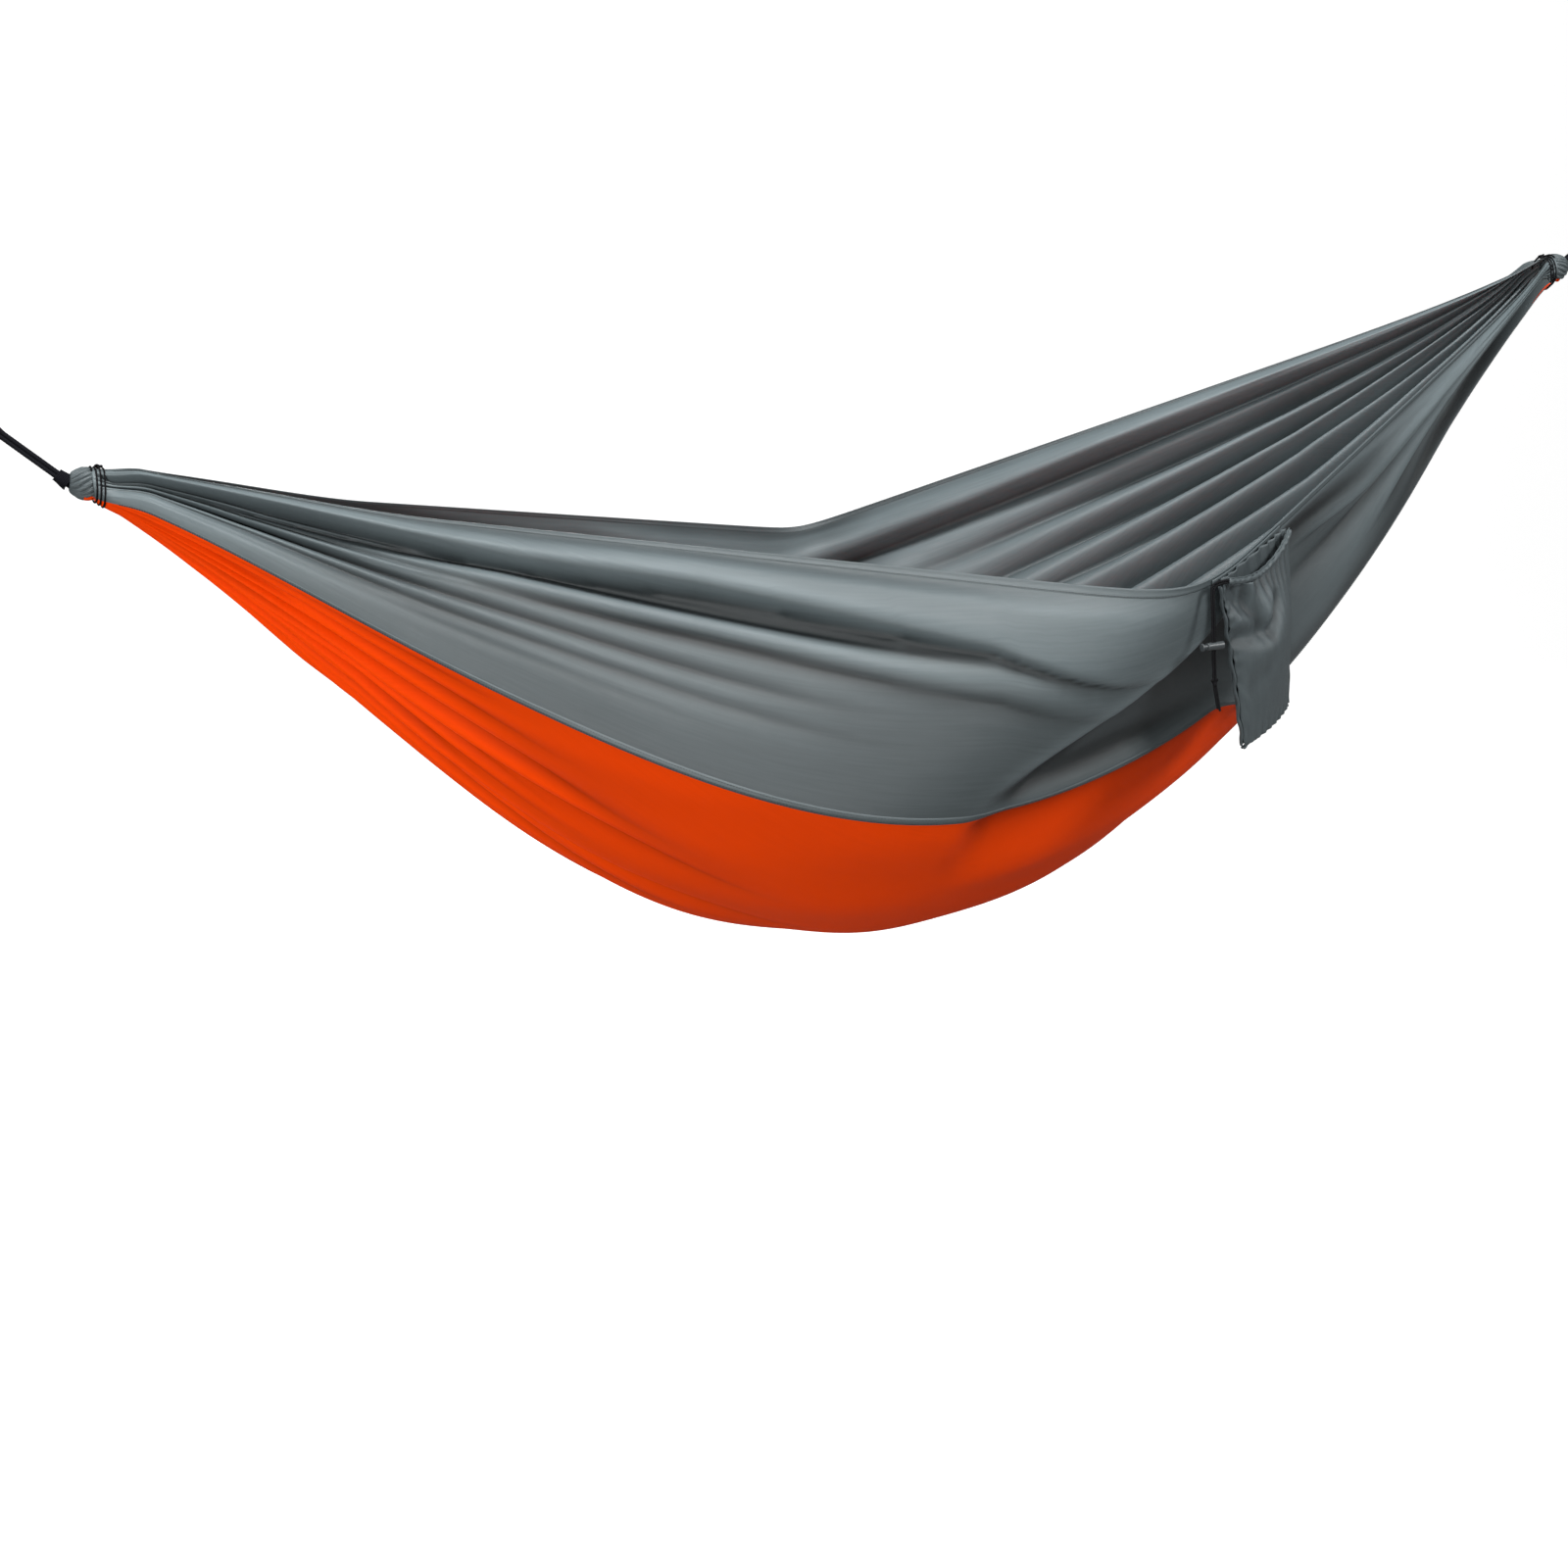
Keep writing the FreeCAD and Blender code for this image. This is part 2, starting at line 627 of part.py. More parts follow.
def cord_lock_spring():
    """The coil behind the plunger."""
    left = LOCK_CENTRE - X * (LOCK_LENGTH / 2 - 2)
    return coil(left + X * 14.6, X, LOCK_SPRING_RADIUS, LOCK_SPRING_LENGTH)


def stuff_sack():
    return {
        "sack_hem_tape": sack_tape(),
        "sack_back_panel": sack_panel(front=False),
        "sack_front_panel": sack_panel(front=True),
        "sack_mouth_channel": mouth_channel(),
        "sack_left_binding": side_binding(0.0),
        "sack_right_binding": side_binding(1.0),
        "sack_bottom_binding": bottom_binding(),
        "drawcord_in_channel": drawcord_in_channel(),
        "drawcord_strand_a": routed_tube(strand_route(-1), DRAWCORD),
        "drawcord_strand_b": routed_tube(strand_route(1), DRAWCORD),
        "drawcord_knot": drawcord_knot(),
        "cord_lock_barrel": cord_lock_barrel(),
        "cord_lock_plunger": cord_lock_plunger(),
        "cord_lock_spring": cord_lock_spring(),
    }


# ---- Write every piece --------------------------------------------------------------------------------------------


def main():
    os.makedirs("parts", exist_ok=True)
    pieces = {**pouch(), **gathered_ends(), **carabiners(), **stuff_sack()}
    for name, shape in pieces.items():
        shape.exportStep("parts/" + name + ".step")
    for sign, name in ((-1, "a"), (1, "b")):
        route = strand_route(sign)
        edges, radii = rounded_route(route)
        length = sum(e.Length for e in edges)
        print("drawcord strand", name, "length", round(length, 1), "bend radii", radii)
    for name, shape in pieces.items():
        print(f"{name:24s} volume {shape.Volume / 1000:9.2f} cm3 valid {shape.isValid()} closed {shape.isClosed()}")
    print("necks", LEFT_NECK, RIGHT_NECK, "right hang point", RIGHT_HANG)
    print("sack", SACK_LEFT, SACK_RIGHT, "out", SACK_OUT, "cord lock", LOCK_CENTRE)


main()
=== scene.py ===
"""The looks of a double camping hammock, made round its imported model, in metres and in the model's frame."""

import bpy
import math
import numpy as np
from mathutils import Matrix, Vector


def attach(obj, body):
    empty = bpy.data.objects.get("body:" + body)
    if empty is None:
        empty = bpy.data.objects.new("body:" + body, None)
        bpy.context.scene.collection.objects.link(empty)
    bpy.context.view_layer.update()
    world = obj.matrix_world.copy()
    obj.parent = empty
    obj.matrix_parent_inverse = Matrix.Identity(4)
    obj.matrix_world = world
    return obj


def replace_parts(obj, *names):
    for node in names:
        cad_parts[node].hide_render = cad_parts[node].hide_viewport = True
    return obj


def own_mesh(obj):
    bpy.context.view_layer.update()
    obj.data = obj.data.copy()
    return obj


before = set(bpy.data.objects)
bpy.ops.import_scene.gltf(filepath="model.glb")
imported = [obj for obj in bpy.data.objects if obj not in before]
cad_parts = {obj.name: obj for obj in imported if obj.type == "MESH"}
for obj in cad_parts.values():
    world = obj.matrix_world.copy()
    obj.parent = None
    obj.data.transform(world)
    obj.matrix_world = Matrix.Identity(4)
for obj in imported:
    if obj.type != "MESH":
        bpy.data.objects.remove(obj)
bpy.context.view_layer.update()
draws = np.random.default_rng(41)

# ---- Sizes shared with the model -----------------------------------------------------------------

LEFT_NECK = np.array((0.17514, 0.0, -0.139377))
RIGHT_NECK = np.array((2.57514, 0.0, -0.009377))
HALF_WIDTH = 0.930
DEPTH = 0.997
CENTRE_DROP = 0.042
SEAM_WIDTH = 0.012

# angle round the pouch in degrees, left shoulder, right shoulder, softness, angle round the gathered neck
THREADS = np.array(
    (
        (-70.1, 0.573, 0.539, 0.030, -168.0),
        (0.0, 0.277, 0.603, 0.512, 0.0),
        (59.2, 0.337, 0.522, 0.189, 42.0),
        (76.7, 0.563, 0.474, 0.045, 168.0),
    )
)
FAR_EDGE = -70.1
FAR_SEAM = -16.0
NEAR_SEAM = 59.2
NEAR_EDGE = 76.7
NECK_RADIUS = 0.023
NECK_FADE = 0.035
WHIPPING_PITCH = 0.0052
CAP_LENGTH = 0.034
NECK_TILT = 12.0
LOOP_TILT = 43.0
LOOP_LENGTH = 0.128
ROPE = 0.006
BAR = 0.008

SACK_FROM = 0.534
SACK_TO = 0.602
SACK_HEIGHT = 0.238
SACK_TAPER = 0.062
SACK_BELLY = 0.036
SACK_CLOTH = 0.0014
SACK_GAP = 0.010
MOUTH_SAG = 0.024
DRAWCORD = 0.0026
STRAND_APART = 0.003
KNOT_DROP = 0.123
TAIL_DROP = 0.161

CLOTH = 0.0007  # how thick the cloth is drawn
HEM_WIDTH = 0.011  # how much of the hem shows as a narrow rolled edge
WHIPPING_RADIUS = 0.0241
WHIPPING_CORD = 0.00125  # its radius
UP = np.array((0.0, 0.0, 1.0))


def unit(v):
    return v / np.linalg.norm(v, axis=-1, keepdims=True)


def smooth(x):
    """0 below 0, 1 above 1, and an even rise between them."""
    x = np.clip(x, 0, 1)
    return x * x * (3 - 2 * x)


# ---- Camera, light and floor ---------------------------------------------------------------------


CAMERA_PLACE = (0.0131, -3.271, 0.1856)
CAMERA_TURN = (19.18, -14.42, -3.49)  # yaw, pitch and roll in degrees
LENS = 52.31


def camera():
    yaw, pitch, roll = (math.radians(a) for a in CAMERA_TURN)
    ahead = Vector((math.sin(yaw) * math.cos(pitch), math.cos(yaw) * math.cos(pitch), math.sin(pitch)))
    right = Vector((math.cos(yaw), -math.sin(yaw), 0))
    up = right.cross(ahead)
    right, up = right * math.cos(roll) + up * math.sin(roll), up * math.cos(roll) - right * math.sin(roll)
    data = bpy.data.cameras.new("camera")
    data.lens = LENS
    data.sensor_width = 36
    obj = bpy.data.objects.new("camera", data)
    turned = Matrix((right, up, -ahead)).transposed().to_4x4()
    obj.matrix_world = Matrix.Translation(CAMERA_PLACE) @ turned
    bpy.context.scene.collection.objects.link(obj)
    bpy.context.scene.camera = obj


def area_light(name, place, target, size, power):
    data = bpy.data.lights.new(name, "AREA")
    data.shape = "RECTANGLE"
    data.size, data.size_y = size
    data.energy = power
    obj = bpy.data.objects.new(name, data)
    aim = Vector(target) - Vector(place)
    obj.matrix_world = Matrix.Translation(place) @ aim.to_track_quat("-Z", "Y").to_matrix().to_4x4()
    obj.visible_camera = False
    bpy.context.scene.collection.objects.link(obj)


def lights():
    middle = (1.35, 0.0, -0.4)
    area_light("key_light", (0.4, -1.3, 3.3), middle, (0.9, 0.9), 225)
    area_light("left_light", (-2.5, -4.2, 0.2), middle, (2.0, 1.2), 200)
    area_light("right_light", (4.2, -3.4, 1.9), middle, (1.3, 1.3), 190)
    area_light("back_light", (1.2, 3.9, -0.1), middle, (2.4, 1.0), 120)
    world = bpy.data.worlds.new("studio")
    world.use_nodes = True
    dome = world.node_tree.nodes["Background"]
    dome.inputs["Color"].default_value = (1, 1, 1, 1)
    path = world.node_tree.nodes.new("ShaderNodeLightPath")
    seen = world.node_tree.nodes.new("ShaderNodeMapRange")
    seen.inputs["To Min"].default_value = 0.18
    seen.inputs["To Max"].default_value = 1.0
    world.node_tree.links.new(path.outputs["Is Camera Ray"], seen.inputs["Value"])
    world.node_tree.links.new(seen.outputs["Result"], dome.inputs["Strength"])
    bpy.context.scene.world = world
    bpy.context.scene.view_settings.view_transform = "Standard"


def backdrop():
    """A pale floor that curves up into a wall behind."""
    floor_z = -1.6
    wall_y = 5.0
    bend = 1.6
    profile = [(-7.0, floor_z), (wall_y - bend, floor_z)]
    for i in range(1, 13):
        a = math.pi / 2 * i / 12
        profile.append((wall_y - bend + bend * math.sin(a), floor_z + bend * (1 - math.cos(a))))
    profile.append((wall_y, 7.0))
    verts = [(x, y, z) for y, z in profile for x in (-9.0, 12.0)]
    faces = [(2 * i, 2 * i + 1, 2 * i + 3, 2 * i + 2) for i in range(len(profile) - 1)]
    mesh = bpy.data.meshes.new("floor")
    mesh.from_pydata(verts, [], faces)
    mesh.polygons.foreach_set("use_smooth", [True] * len(faces))
    obj = bpy.data.objects.new("floor", mesh)
    bpy.context.scene.collection.objects.link(obj)
    n = Nodes("pale_floor")
    seen = n.add("ShaderNodeLightPath").outputs["Is Camera Ray"]
    grey = n.maths("ADD", n.maths("MULTIPLY", seen, 0.15), 0.2)
    n.shade(Base_Color=grey, Emission_Strength=n.maths("MULTIPLY", seen, 0.82))
    n.shader.inputs["Emission Color"].default_value = (1, 1, 1, 1)
    n.shader.inputs["Roughness"].default_value = 0.9
    mesh.materials.append(n.material)


# ---- Materials -----------------------------------------------------------------------------------


class Nodes:
    """A short way to write a material's nodes."""

    def __init__(self, name):
        self.material = bpy.data.materials.new(name)
        self.material.use_nodes = True
        self.tree = self.material.node_tree
        self.shader = self.tree.nodes["Principled BSDF"]

    def add(self, kind, values=(), links=(), **settings):
        node = self.tree.nodes.new(kind)
        for key, value in settings.items():
            setattr(node, key, value)
        for key, value in dict(values).items():
            node.inputs[key].default_value = value
        for key, source in dict(links).items():
            self.tree.links.new(source, node.inputs[key])
        return node

    def shade(self, **links):
        for key, source in links.items():
            self.tree.links.new(source, self.shader.inputs[key.replace("_", " ")])

    def ramp(self, source, stops):
        node = self.add("ShaderNodeValToRGB", links={"Fac": source})
        ramp = node.color_ramp
        while len(ramp.elements) < len(stops):
            ramp.elements.new(0.5)
        for element, (at, colour) in zip(ramp.elements, stops):
            element.position = at
            element.color = (*colour, 1)
        return node.outputs["Color"]

    def maths(self, operation, a, b):
        node = self.add("ShaderNodeMath", operation=operation)
        for socket, value in zip(node.inputs, (a, b)):
            if isinstance(value, (int, float)):
                socket.default_value = value
            else:
                self.tree.links.new(value, socket)
        return node.outputs[0]


def taffeta(name, light, dark, roughness, shine, sheen_tint, face=0.0):
    """Nylon taffeta: a fine weave along its threads. face is how strongly painted light lightens the folds'
    ridges and painted shade darkens their valleys.
    """
    n = Nodes(name)
    threads = n.add("ShaderNodeUVMap", uv_map="threads").outputs["UV"]
    place = n.add("ShaderNodeTexCoord").outputs["Object"]
    split = n.add("ShaderNodeSeparateXYZ", links={"Vector": threads})
    pitch = 2 * math.pi / 0.0006
    warp = n.maths("SINE", n.maths("MULTIPLY", split.outputs["X"], pitch), 0)
    weft = n.maths("SINE", n.maths("MULTIPLY", split.outputs["Y"], pitch), 0)
    weave = n.maths("MULTIPLY", warp, weft)
    drift = n.add("ShaderNodeTexNoise", {"Scale": 2.6, "Detail": 4.0, "Roughness": 0.55}, {"Vector": place})
    stretch = n.add("ShaderNodeMapping", {"Scale": (1.2, 26.0, 1.0)}, {"Vector": threads})
    along = {"Scale": 9.0, "Detail": 5.0, "Roughness": 0.6}
    streak = n.add("ShaderNodeTexNoise", along, {"Vector": stretch.outputs[0]})
    broad = n.maths("MULTIPLY", drift.outputs["Fac"], 0.45)
    narrow = n.maths("MULTIPLY", streak.outputs["Fac"], 0.55)
    colour = n.ramp(n.maths("ADD", broad, narrow), ((0.32, dark), (0.68, light)))
    # Painted light and shade: the fold attribute scales the base colour up on ridges and down in valleys and
    # painted shadows.
    if face:
        fold = n.add("ShaderNodeAttribute", attribute_name="fold").outputs["Fac"]
        gain = n.maths("ADD", n.maths("MULTIPLY", fold, face), 1.0)
        painted_fold_light_and_shade = n.add("ShaderNodeVectorMath", links={0: colour}, operation="SCALE")
        n.tree.links.new(gain, painted_fold_light_and_shade.inputs["Scale"])
        colour = painted_fold_light_and_shade.outputs[0]
    n.shade(Base_Color=colour)
    rough = n.maths("ADD", n.maths("MULTIPLY", drift.outputs["Fac"], 0.12), roughness - 0.06)
    n.shade(Roughness=rough)
    crumple = n.add("ShaderNodeTexNoise", {"Scale": 60.0, "Detail": 4.0, "Roughness": 0.6}, {"Vector": place})
    soft = n.add("ShaderNodeBump", {"Strength": 0.12, "Distance": 0.0012}, {"Height": crumple.outputs["Fac"]})
    woven = {"Height": weave, "Normal": soft.outputs[0]}
    fine = n.add("ShaderNodeBump", {"Strength": 0.35, "Distance": 0.00012}, woven)
    n.shade(Normal=fine.outputs[0])
    n.shader.inputs["Sheen Weight"].default_value = 0.04
    n.shader.inputs["Sheen Roughness"].default_value = 0.4
    n.shader.inputs["Sheen Tint"].default_value = (*sheen_tint, 1)
    n.shader.inputs["Specular IOR Level"].default_value = shine
    return n.material


def braided(name, light, dark, pitch):
    """Braided cord: crossing diagonal strands in the weave of the sheath."""
    n = Nodes(name)
    place = n.add("ShaderNodeTexCoord").outputs["Object"]
    waves = []
    for lean in (1.0, -1.0):
        turn = (0.6 * lean, 0.9 * lean, 0.8 * lean)
        turned = n.add("ShaderNodeMapping", {"Rotation": turn}, {"Vector": place})
        strands = {"Scale": 1 / pitch, "Distortion": 0.6, "Detail": 1.0}
        wave = n.add("ShaderNodeTexWave", strands, {"Vector": turned.outputs[0]})
        waves.append(wave.outputs["Fac"])
    height = n.maths("MAXIMUM", *waves)
    # Painted shade: the grooves between strands are coloured darker than the strands' tops.
    n.shade(Base_Color=n.ramp(height, ((0.2, dark), (0.9, light))))
    fuzz = n.add("ShaderNodeTexNoise", {"Scale": 900.0, "Detail": 3.0}, {"Vector": place})
    both = n.maths("ADD", height, n.maths("MULTIPLY", fuzz.outputs["Fac"], 0.4))
    bump = n.add("ShaderNodeBump", {"Strength": 0.6, "Distance": 0.0004}, {"Height": both})
    n.shade(Normal=bump.outputs[0])
    n.shader.inputs["Roughness"].default_value = 0.75
    n.shader.inputs["Specular IOR Level"].default_value = 0.1
    return n.material


def moulded_plastic(name, colour):
    n = Nodes(name)
    place = n.add("ShaderNodeTexCoord").outputs["Object"]
    grain = n.add("ShaderNodeTexNoise", {"Scale": 700.0, "Detail": 5.0, "Roughness": 0.65}, {"Vector": place})
    dark = [c * 0.75 for c in colour]
    n.shade(Base_Color=n.ramp(grain.outputs["Fac"], ((0.3, dark), (0.75, colour))))
    bump = n.add("ShaderNodeBump", {"Strength": 0.25, "Distance": 0.0002}, {"Height": grain.outputs["Fac"]})
    n.shade(Normal=bump.outputs[0])
    n.shader.inputs["Roughness"].default_value = 0.42
    return n.material


def steel(name):
    """Zinc-plated steel rod: fine draw marks, small dull patches and brighter worn places."""
    n = Nodes(name)
    place = n.add("ShaderNodeTexCoord").outputs["Object"]
    stretched = n.add("ShaderNodeMapping", {"Scale": (60.0, 900.0, 60.0)}, {"Vector": place})
    marks = n.add("ShaderNodeTexNoise", {"Scale": 1.0, "Detail": 6.0}, {"Vector": stretched.outputs[0]})
    patches = n.add("ShaderNodeTexNoise", {"Scale": 90.0, "Detail": 4.0}, {"Vector": place})
    n.shade(Base_Color=n.ramp(patches.outputs["Fac"], ((0.3, (0.42, 0.43, 0.44)), (0.7, (0.62, 0.63, 0.64)))))
    n.shade(Roughness=n.maths("ADD", n.maths("MULTIPLY", patches.outputs["Fac"], 0.25), 0.16))
    bump = n.add("ShaderNodeBump", {"Strength": 0.2, "Distance": 0.0002}, {"Height": marks.outputs["Fac"]})
    n.shade(Normal=bump.outputs[0])
    n.shader.inputs["Metallic"].default_value = 1.0
    return n.material


GREYS = ((0.070, 0.086, 0.091), (0.050, 0.063, 0.067))
SACK_GREYS = ((0.054, 0.067, 0.071), (0.039, 0.049, 0.053))
ORANGES = ((0.76, 0.051, 0.0), (0.69, 0.045, 0.0))
# A darker copy of the orange for the inside face: painted shade inside the pouch.
SHADED_INSIDE_ORANGES = ((0.50, 0.034, 0.0), (0.44, 0.030, 0.0))
COOL = (0.8, 0.9, 1.0)
WARM = (1.0, 0.08, 0.0)
GREY = taffeta("grey_taffeta_cloth", *GREYS, 0.45, 0.4, COOL)
SACK_GREY = taffeta("sack_grey_taffeta", *SACK_GREYS, 0.5, 0.32, COOL)
# A last number paints light onto the folds' ridges and shade into their valleys; a negative one turns this
# round for the inside faces.
SACK_OUTSIDE = taffeta("sack_grey_taffeta_front", *SACK_GREYS, 0.5, 0.32, COOL, 0.75)
GREY_OUTSIDE = taffeta("grey_taffeta_outer_face", *GREYS, 0.45, 0.4, COOL, 0.6)
GREY_INSIDE = taffeta("grey_taffeta_inner_face", *GREYS, 0.45, 0.4, COOL, -0.75)
ORANGE = taffeta("orange_taffeta_outer_face", *ORANGES, 0.6, 0.05, WARM, 0.3)
ORANGE_INSIDE = taffeta("orange_taffeta_inner_face", *SHADED_INSIDE_ORANGES, 0.6, 0.1, WARM, -0.3)
THREAD = braided("sewing_thread", (0.05, 0.058, 0.06), (0.02, 0.024, 0.026), 0.0006)
CORD = braided("black_drawcord", (0.006, 0.006, 0.007), (0.002, 0.002, 0.0025), 0.0011)
ROPES = braided("black_rope_sheath", (0.006, 0.006, 0.009), (0.002, 0.002, 0.003), 0.002)
PLASTIC = moulded_plastic("dark_grey_plastic", (0.034, 0.040, 0.043))
STEEL = steel("plated_steel")


# ---- Mesh helpers --------------------------------------------------------------------------------


def mesh_piece(name, verts, faces, material, body, uvs=None):
    mesh = bpy.data.meshes.new(name)
    mesh.from_pydata(np.asarray(verts, float).reshape(-1, 3).tolist(), [], faces)
    mesh.polygons.foreach_set("use_smooth", [True] * len(faces))
    if uvs is not None:
        layer = mesh.uv_layers.new(name="threads")
        corners = np.empty(len(mesh.loops), dtype=np.int64)
        mesh.loops.foreach_get("vertex_index", corners)
        layer.data.foreach_set("uv", np.asarray(uvs, float).reshape(-1, 2)[corners].ravel())
    mesh.materials.append(material)
    obj = bpy.data.objects.new(name, mesh)
    bpy.context.scene.collection.objects.link(obj)
    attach(obj, body)
    return obj


def grid_faces(rows, columns, around=False):
    """Quads between rows of points. With around, each row closes on itself."""
    faces = []
    for i in range(rows - 1):
        for j in range(columns if around else columns - 1):
            k = (j + 1) % columns
            faces.append((i * columns + j, i * columns + k, (i + 1) * columns + k, (i + 1) * columns + j))
    return faces


def grid_lengths(points):
    """Distances in metres along both ways of a grid of points, as a UV map."""
    along = np.zeros(points.shape[:2])
    along[1:] = np.cumsum(np.linalg.norm(np.diff(points, axis=0), axis=2), axis=0)
    across = np.zeros(points.shape[:2])
    across[:, 1:] = np.cumsum(np.linalg.norm(np.diff(points, axis=1), axis=2), axis=1)
    return np.stack((along, across), axis=2)


def cloth_piece(name, points, material, body, thickness=CLOTH):
    """A sheet of cloth through a grid of points, with its real two faces."""
    rows, columns = points.shape[:2]
    obj = mesh_piece(name, points, grid_faces(rows, columns), material, body, grid_lengths(points))
    solid = obj.modifiers.new("thickness", "SOLIDIFY")
    solid.thickness = thickness
    solid.offset = 0
    return obj


def frames_along(path):
    """Two directions square to a path at each of its points, turning as little as they can."""
    ahead = unit(np.gradient(path, axis=0))
    side = np.empty_like(path)
    first = np.cross(ahead[0], UP)
    if np.linalg.norm(first) < 0.2:
        first = np.cross(ahead[0], (0.0, 1.0, 0.0))
    side[0] = unit(first)
    for i in range(1, len(path)):
        kept = side[i - 1] - ahead[i] * np.dot(side[i - 1], ahead[i])
        side[i] = unit(kept)
    return side, np.cross(ahead, side)


def tube_piece(name, path, radius, material, body, slot, ring=16, closed=False, relief=None):
    """A round tube along a path. relief(i, angles) adds to the radius at point i."""
    path = np.asarray(path, float)
    side, other = frames_along(path)
    angles = np.linspace(0, 2 * math.pi, ring, endpoint=False)
    rings = []
    for i in range(len(path)):
        r = (radius[i] if hasattr(radius, "__len__") else radius) + (relief(i, angles) if relief else 0)
        across = (np.cos(angles) * r)[:, None] * side[i]
        rings.append(path[i] + across + (np.sin(angles) * r)[:, None] * other[i])
    verts = np.array(rings).reshape(-1, 3)
    faces = grid_faces(len(path), ring, around=True)
    if closed:
        last = (len(path) - 1) * ring
        faces += [(last + j, last + (j + 1) % ring, (j + 1) % ring, j) for j in range(ring)]
    else:
        faces.append(tuple(reversed(range(ring))))
        faces.append(tuple((len(path) - 1) * ring + j for j in range(ring)))
    return mesh_piece(name, verts, faces, material, body)


def joined(name, parts):
    """The parts as one piece, under a new name."""
    bpy.ops.object.select_all(action="DESELECT")
    for part in parts:
        part.select_set(True)
    bpy.context.view_layer.objects.active = parts[0]
    bpy.ops.object.join()
    parts[0].name = name
    return parts[0]


# ---- The pouch's smooth surface, as in the model -------------------------------------------------


def cloth(s, angle):
    """Points on the smooth surface, at s from 0 to 1 along the span and an angle round it in degrees."""
    s, angle = np.broadcast_arrays(np.asarray(s, float), np.asarray(angle, float))
    left, right, soft, neck = (np.interp(angle, THREADS[:, 0], THREADS[:, k]) for k in (1, 2, 3, 4))

    def least(*values):
        return -soft * np.log(sum(np.exp(-v / soft) for v in values))

    end = least(0 * s, 1 + 0 * s, 1 / (1 - right))
    g = np.maximum(0, least(s / left, 1 + 0 * s, (1 - s) / (1 - right)) - end)
    a = np.radians(angle)
    n = np.radians(neck)
    ring = NECK_RADIUS * (np.exp(-s / NECK_FADE) + np.exp((s - 1) / NECK_FADE))
    y = -g * HALF_WIDTH * np.sin(a) - ring * np.sin(n)
    z = -g * (CENTRE_DROP + DEPTH * np.cos(a)) - ring * np.cos(n)
    line = LEFT_NECK + (RIGHT_NECK - LEFT_NECK) * s[..., None]
    return line + np.stack((np.zeros_like(y), y, z), axis=-1)


def slopes(s, angle, da=0.2):
    """The outward unit normal, and how many metres one degree of angle is, at each point."""
    ds = 0.002
    along = cloth(np.minimum(1, s + ds), angle) - cloth(np.maximum(0, s - ds), angle)
    high = np.minimum(NEAR_EDGE, angle + da)
    low = np.maximum(FAR_EDGE, angle - da)
    round_ = cloth(s, high) - cloth(s, low)
    return unit(np.cross(along, round_)), np.linalg.norm(round_, axis=-1) / (high - low)


DEGREE_WIDTH = 0.0150  # metres of the flat cut for each degree round the pouch
LEAST_DEPTH = 0.6
MOST_DEPTH = 2.4
FOLD_GAIN = 2.5
SWAY = 0.0012


# ---- Folds ---------------------------------------------------------------------------------------

# Each row: the crease's angle at the gathered end, how far it runs as a share of the span,
# its depth against its width, and how far it drifts in degrees by the time that it has faded.
LEFT_CREASES = (
    (72.0, 0.46, 1.10, -1.4),
    (69.0, 0.40, 0.42, -0.6),
    (66.7, 0.38, 0.62, -0.6),
    (64.7, 0.38, 0.62, -0.4),
    (62.9, 0.32, 0.50, 0.0),
    (61.2, 0.26, 0.22, 0.2),
    (56.5, 0.22, 0.10, 0.8),
    (51.5, 0.24, 0.20, 1.0),
    (44.0, 0.30, 0.22, 2.0),
    (38.5, 0.36, 0.24, 2.5),
    (33.0, 0.26, 0.20, 2.0),
    (27.0, 0.40, 0.28, 3.0),
    (21.5, 0.34, 0.24, 2.0),
    (15.0, 0.42, 0.26, 2.0),
    (7.5, 0.36, 0.26, 1.0),
    (-1.0, 0.40, 0.28, 0.0),
    (-10.0, 0.34, 0.26, -1.0),
    (-18.0, 0.40, 0.28, -2.0),
    (-27.0, 0.34, 0.28, -2.0),
    (-39.0, 0.36, 0.28, -2.0),
    (-46.0, 0.42, 0.30, -2.0),
    (-53.5, 0.36, 0.30, -1.0),
    (-60.0, 0.44, 0.32, -1.0),
    (-65.5, 0.40, 0.34, 0.0),
)
RIGHT_CREASES = (
    (70.6, 0.34, 0.50, 0.0),
    (67.6, 0.42, 0.50, 0.5),
    (64.0, 0.30, 0.40, 0.0),
    (54.0, 0.30, 0.22, 1.0),
    (46.0, 0.34, 0.24, 1.0),
    (38.0, 0.28, 0.24, 1.0),
    (29.0, 0.38, 0.16, 1.0),
    (20.0, 0.32, 0.08, 1.0),
    (10.0, 0.40, 0.06, 0.0),
    (0.0, 0.34, 0.06, 0.0),
    (-9.0, 0.40, 0.06, -1.0),
    (-18.0, 0.34, 0.14, -1.0),
    (-26.0, 0.42, 0.42, -1.0),
    (-34.0, 0.46, 0.52, -1.5),
    (-41.0, 0.50, 0.60, -2.0),
    (-47.5, 0.46, 0.60, -1.5),
    (-53.0, 0.52, 0.62, -1.5),
    (-58.5, 0.46, 0.60, -1.0),
    (-63.8, 0.56, 0.44, -0.5),
)


def minor_creases(spacing, reach, depth):
    """Smaller creases at uneven places all round one end."""
    found = []
    angle = FAR_EDGE + spacing
    while angle < NEAR_EDGE - spacing / 2:
        found.append((angle, draws.uniform(*reach), draws.uniform(*depth), draws.uniform(-0.5, 0.5)))
        angle += spacing * draws.uniform(0.65, 1.4)
    return tuple(found)


def slack(scale):
    """How deep folds are, against their half width, where they take up all the spare cloth."""
    return np.sqrt(np.maximum(0, (DEGREE_WIDTH / np.maximum(scale, 1e-5)) ** 2 - 1))


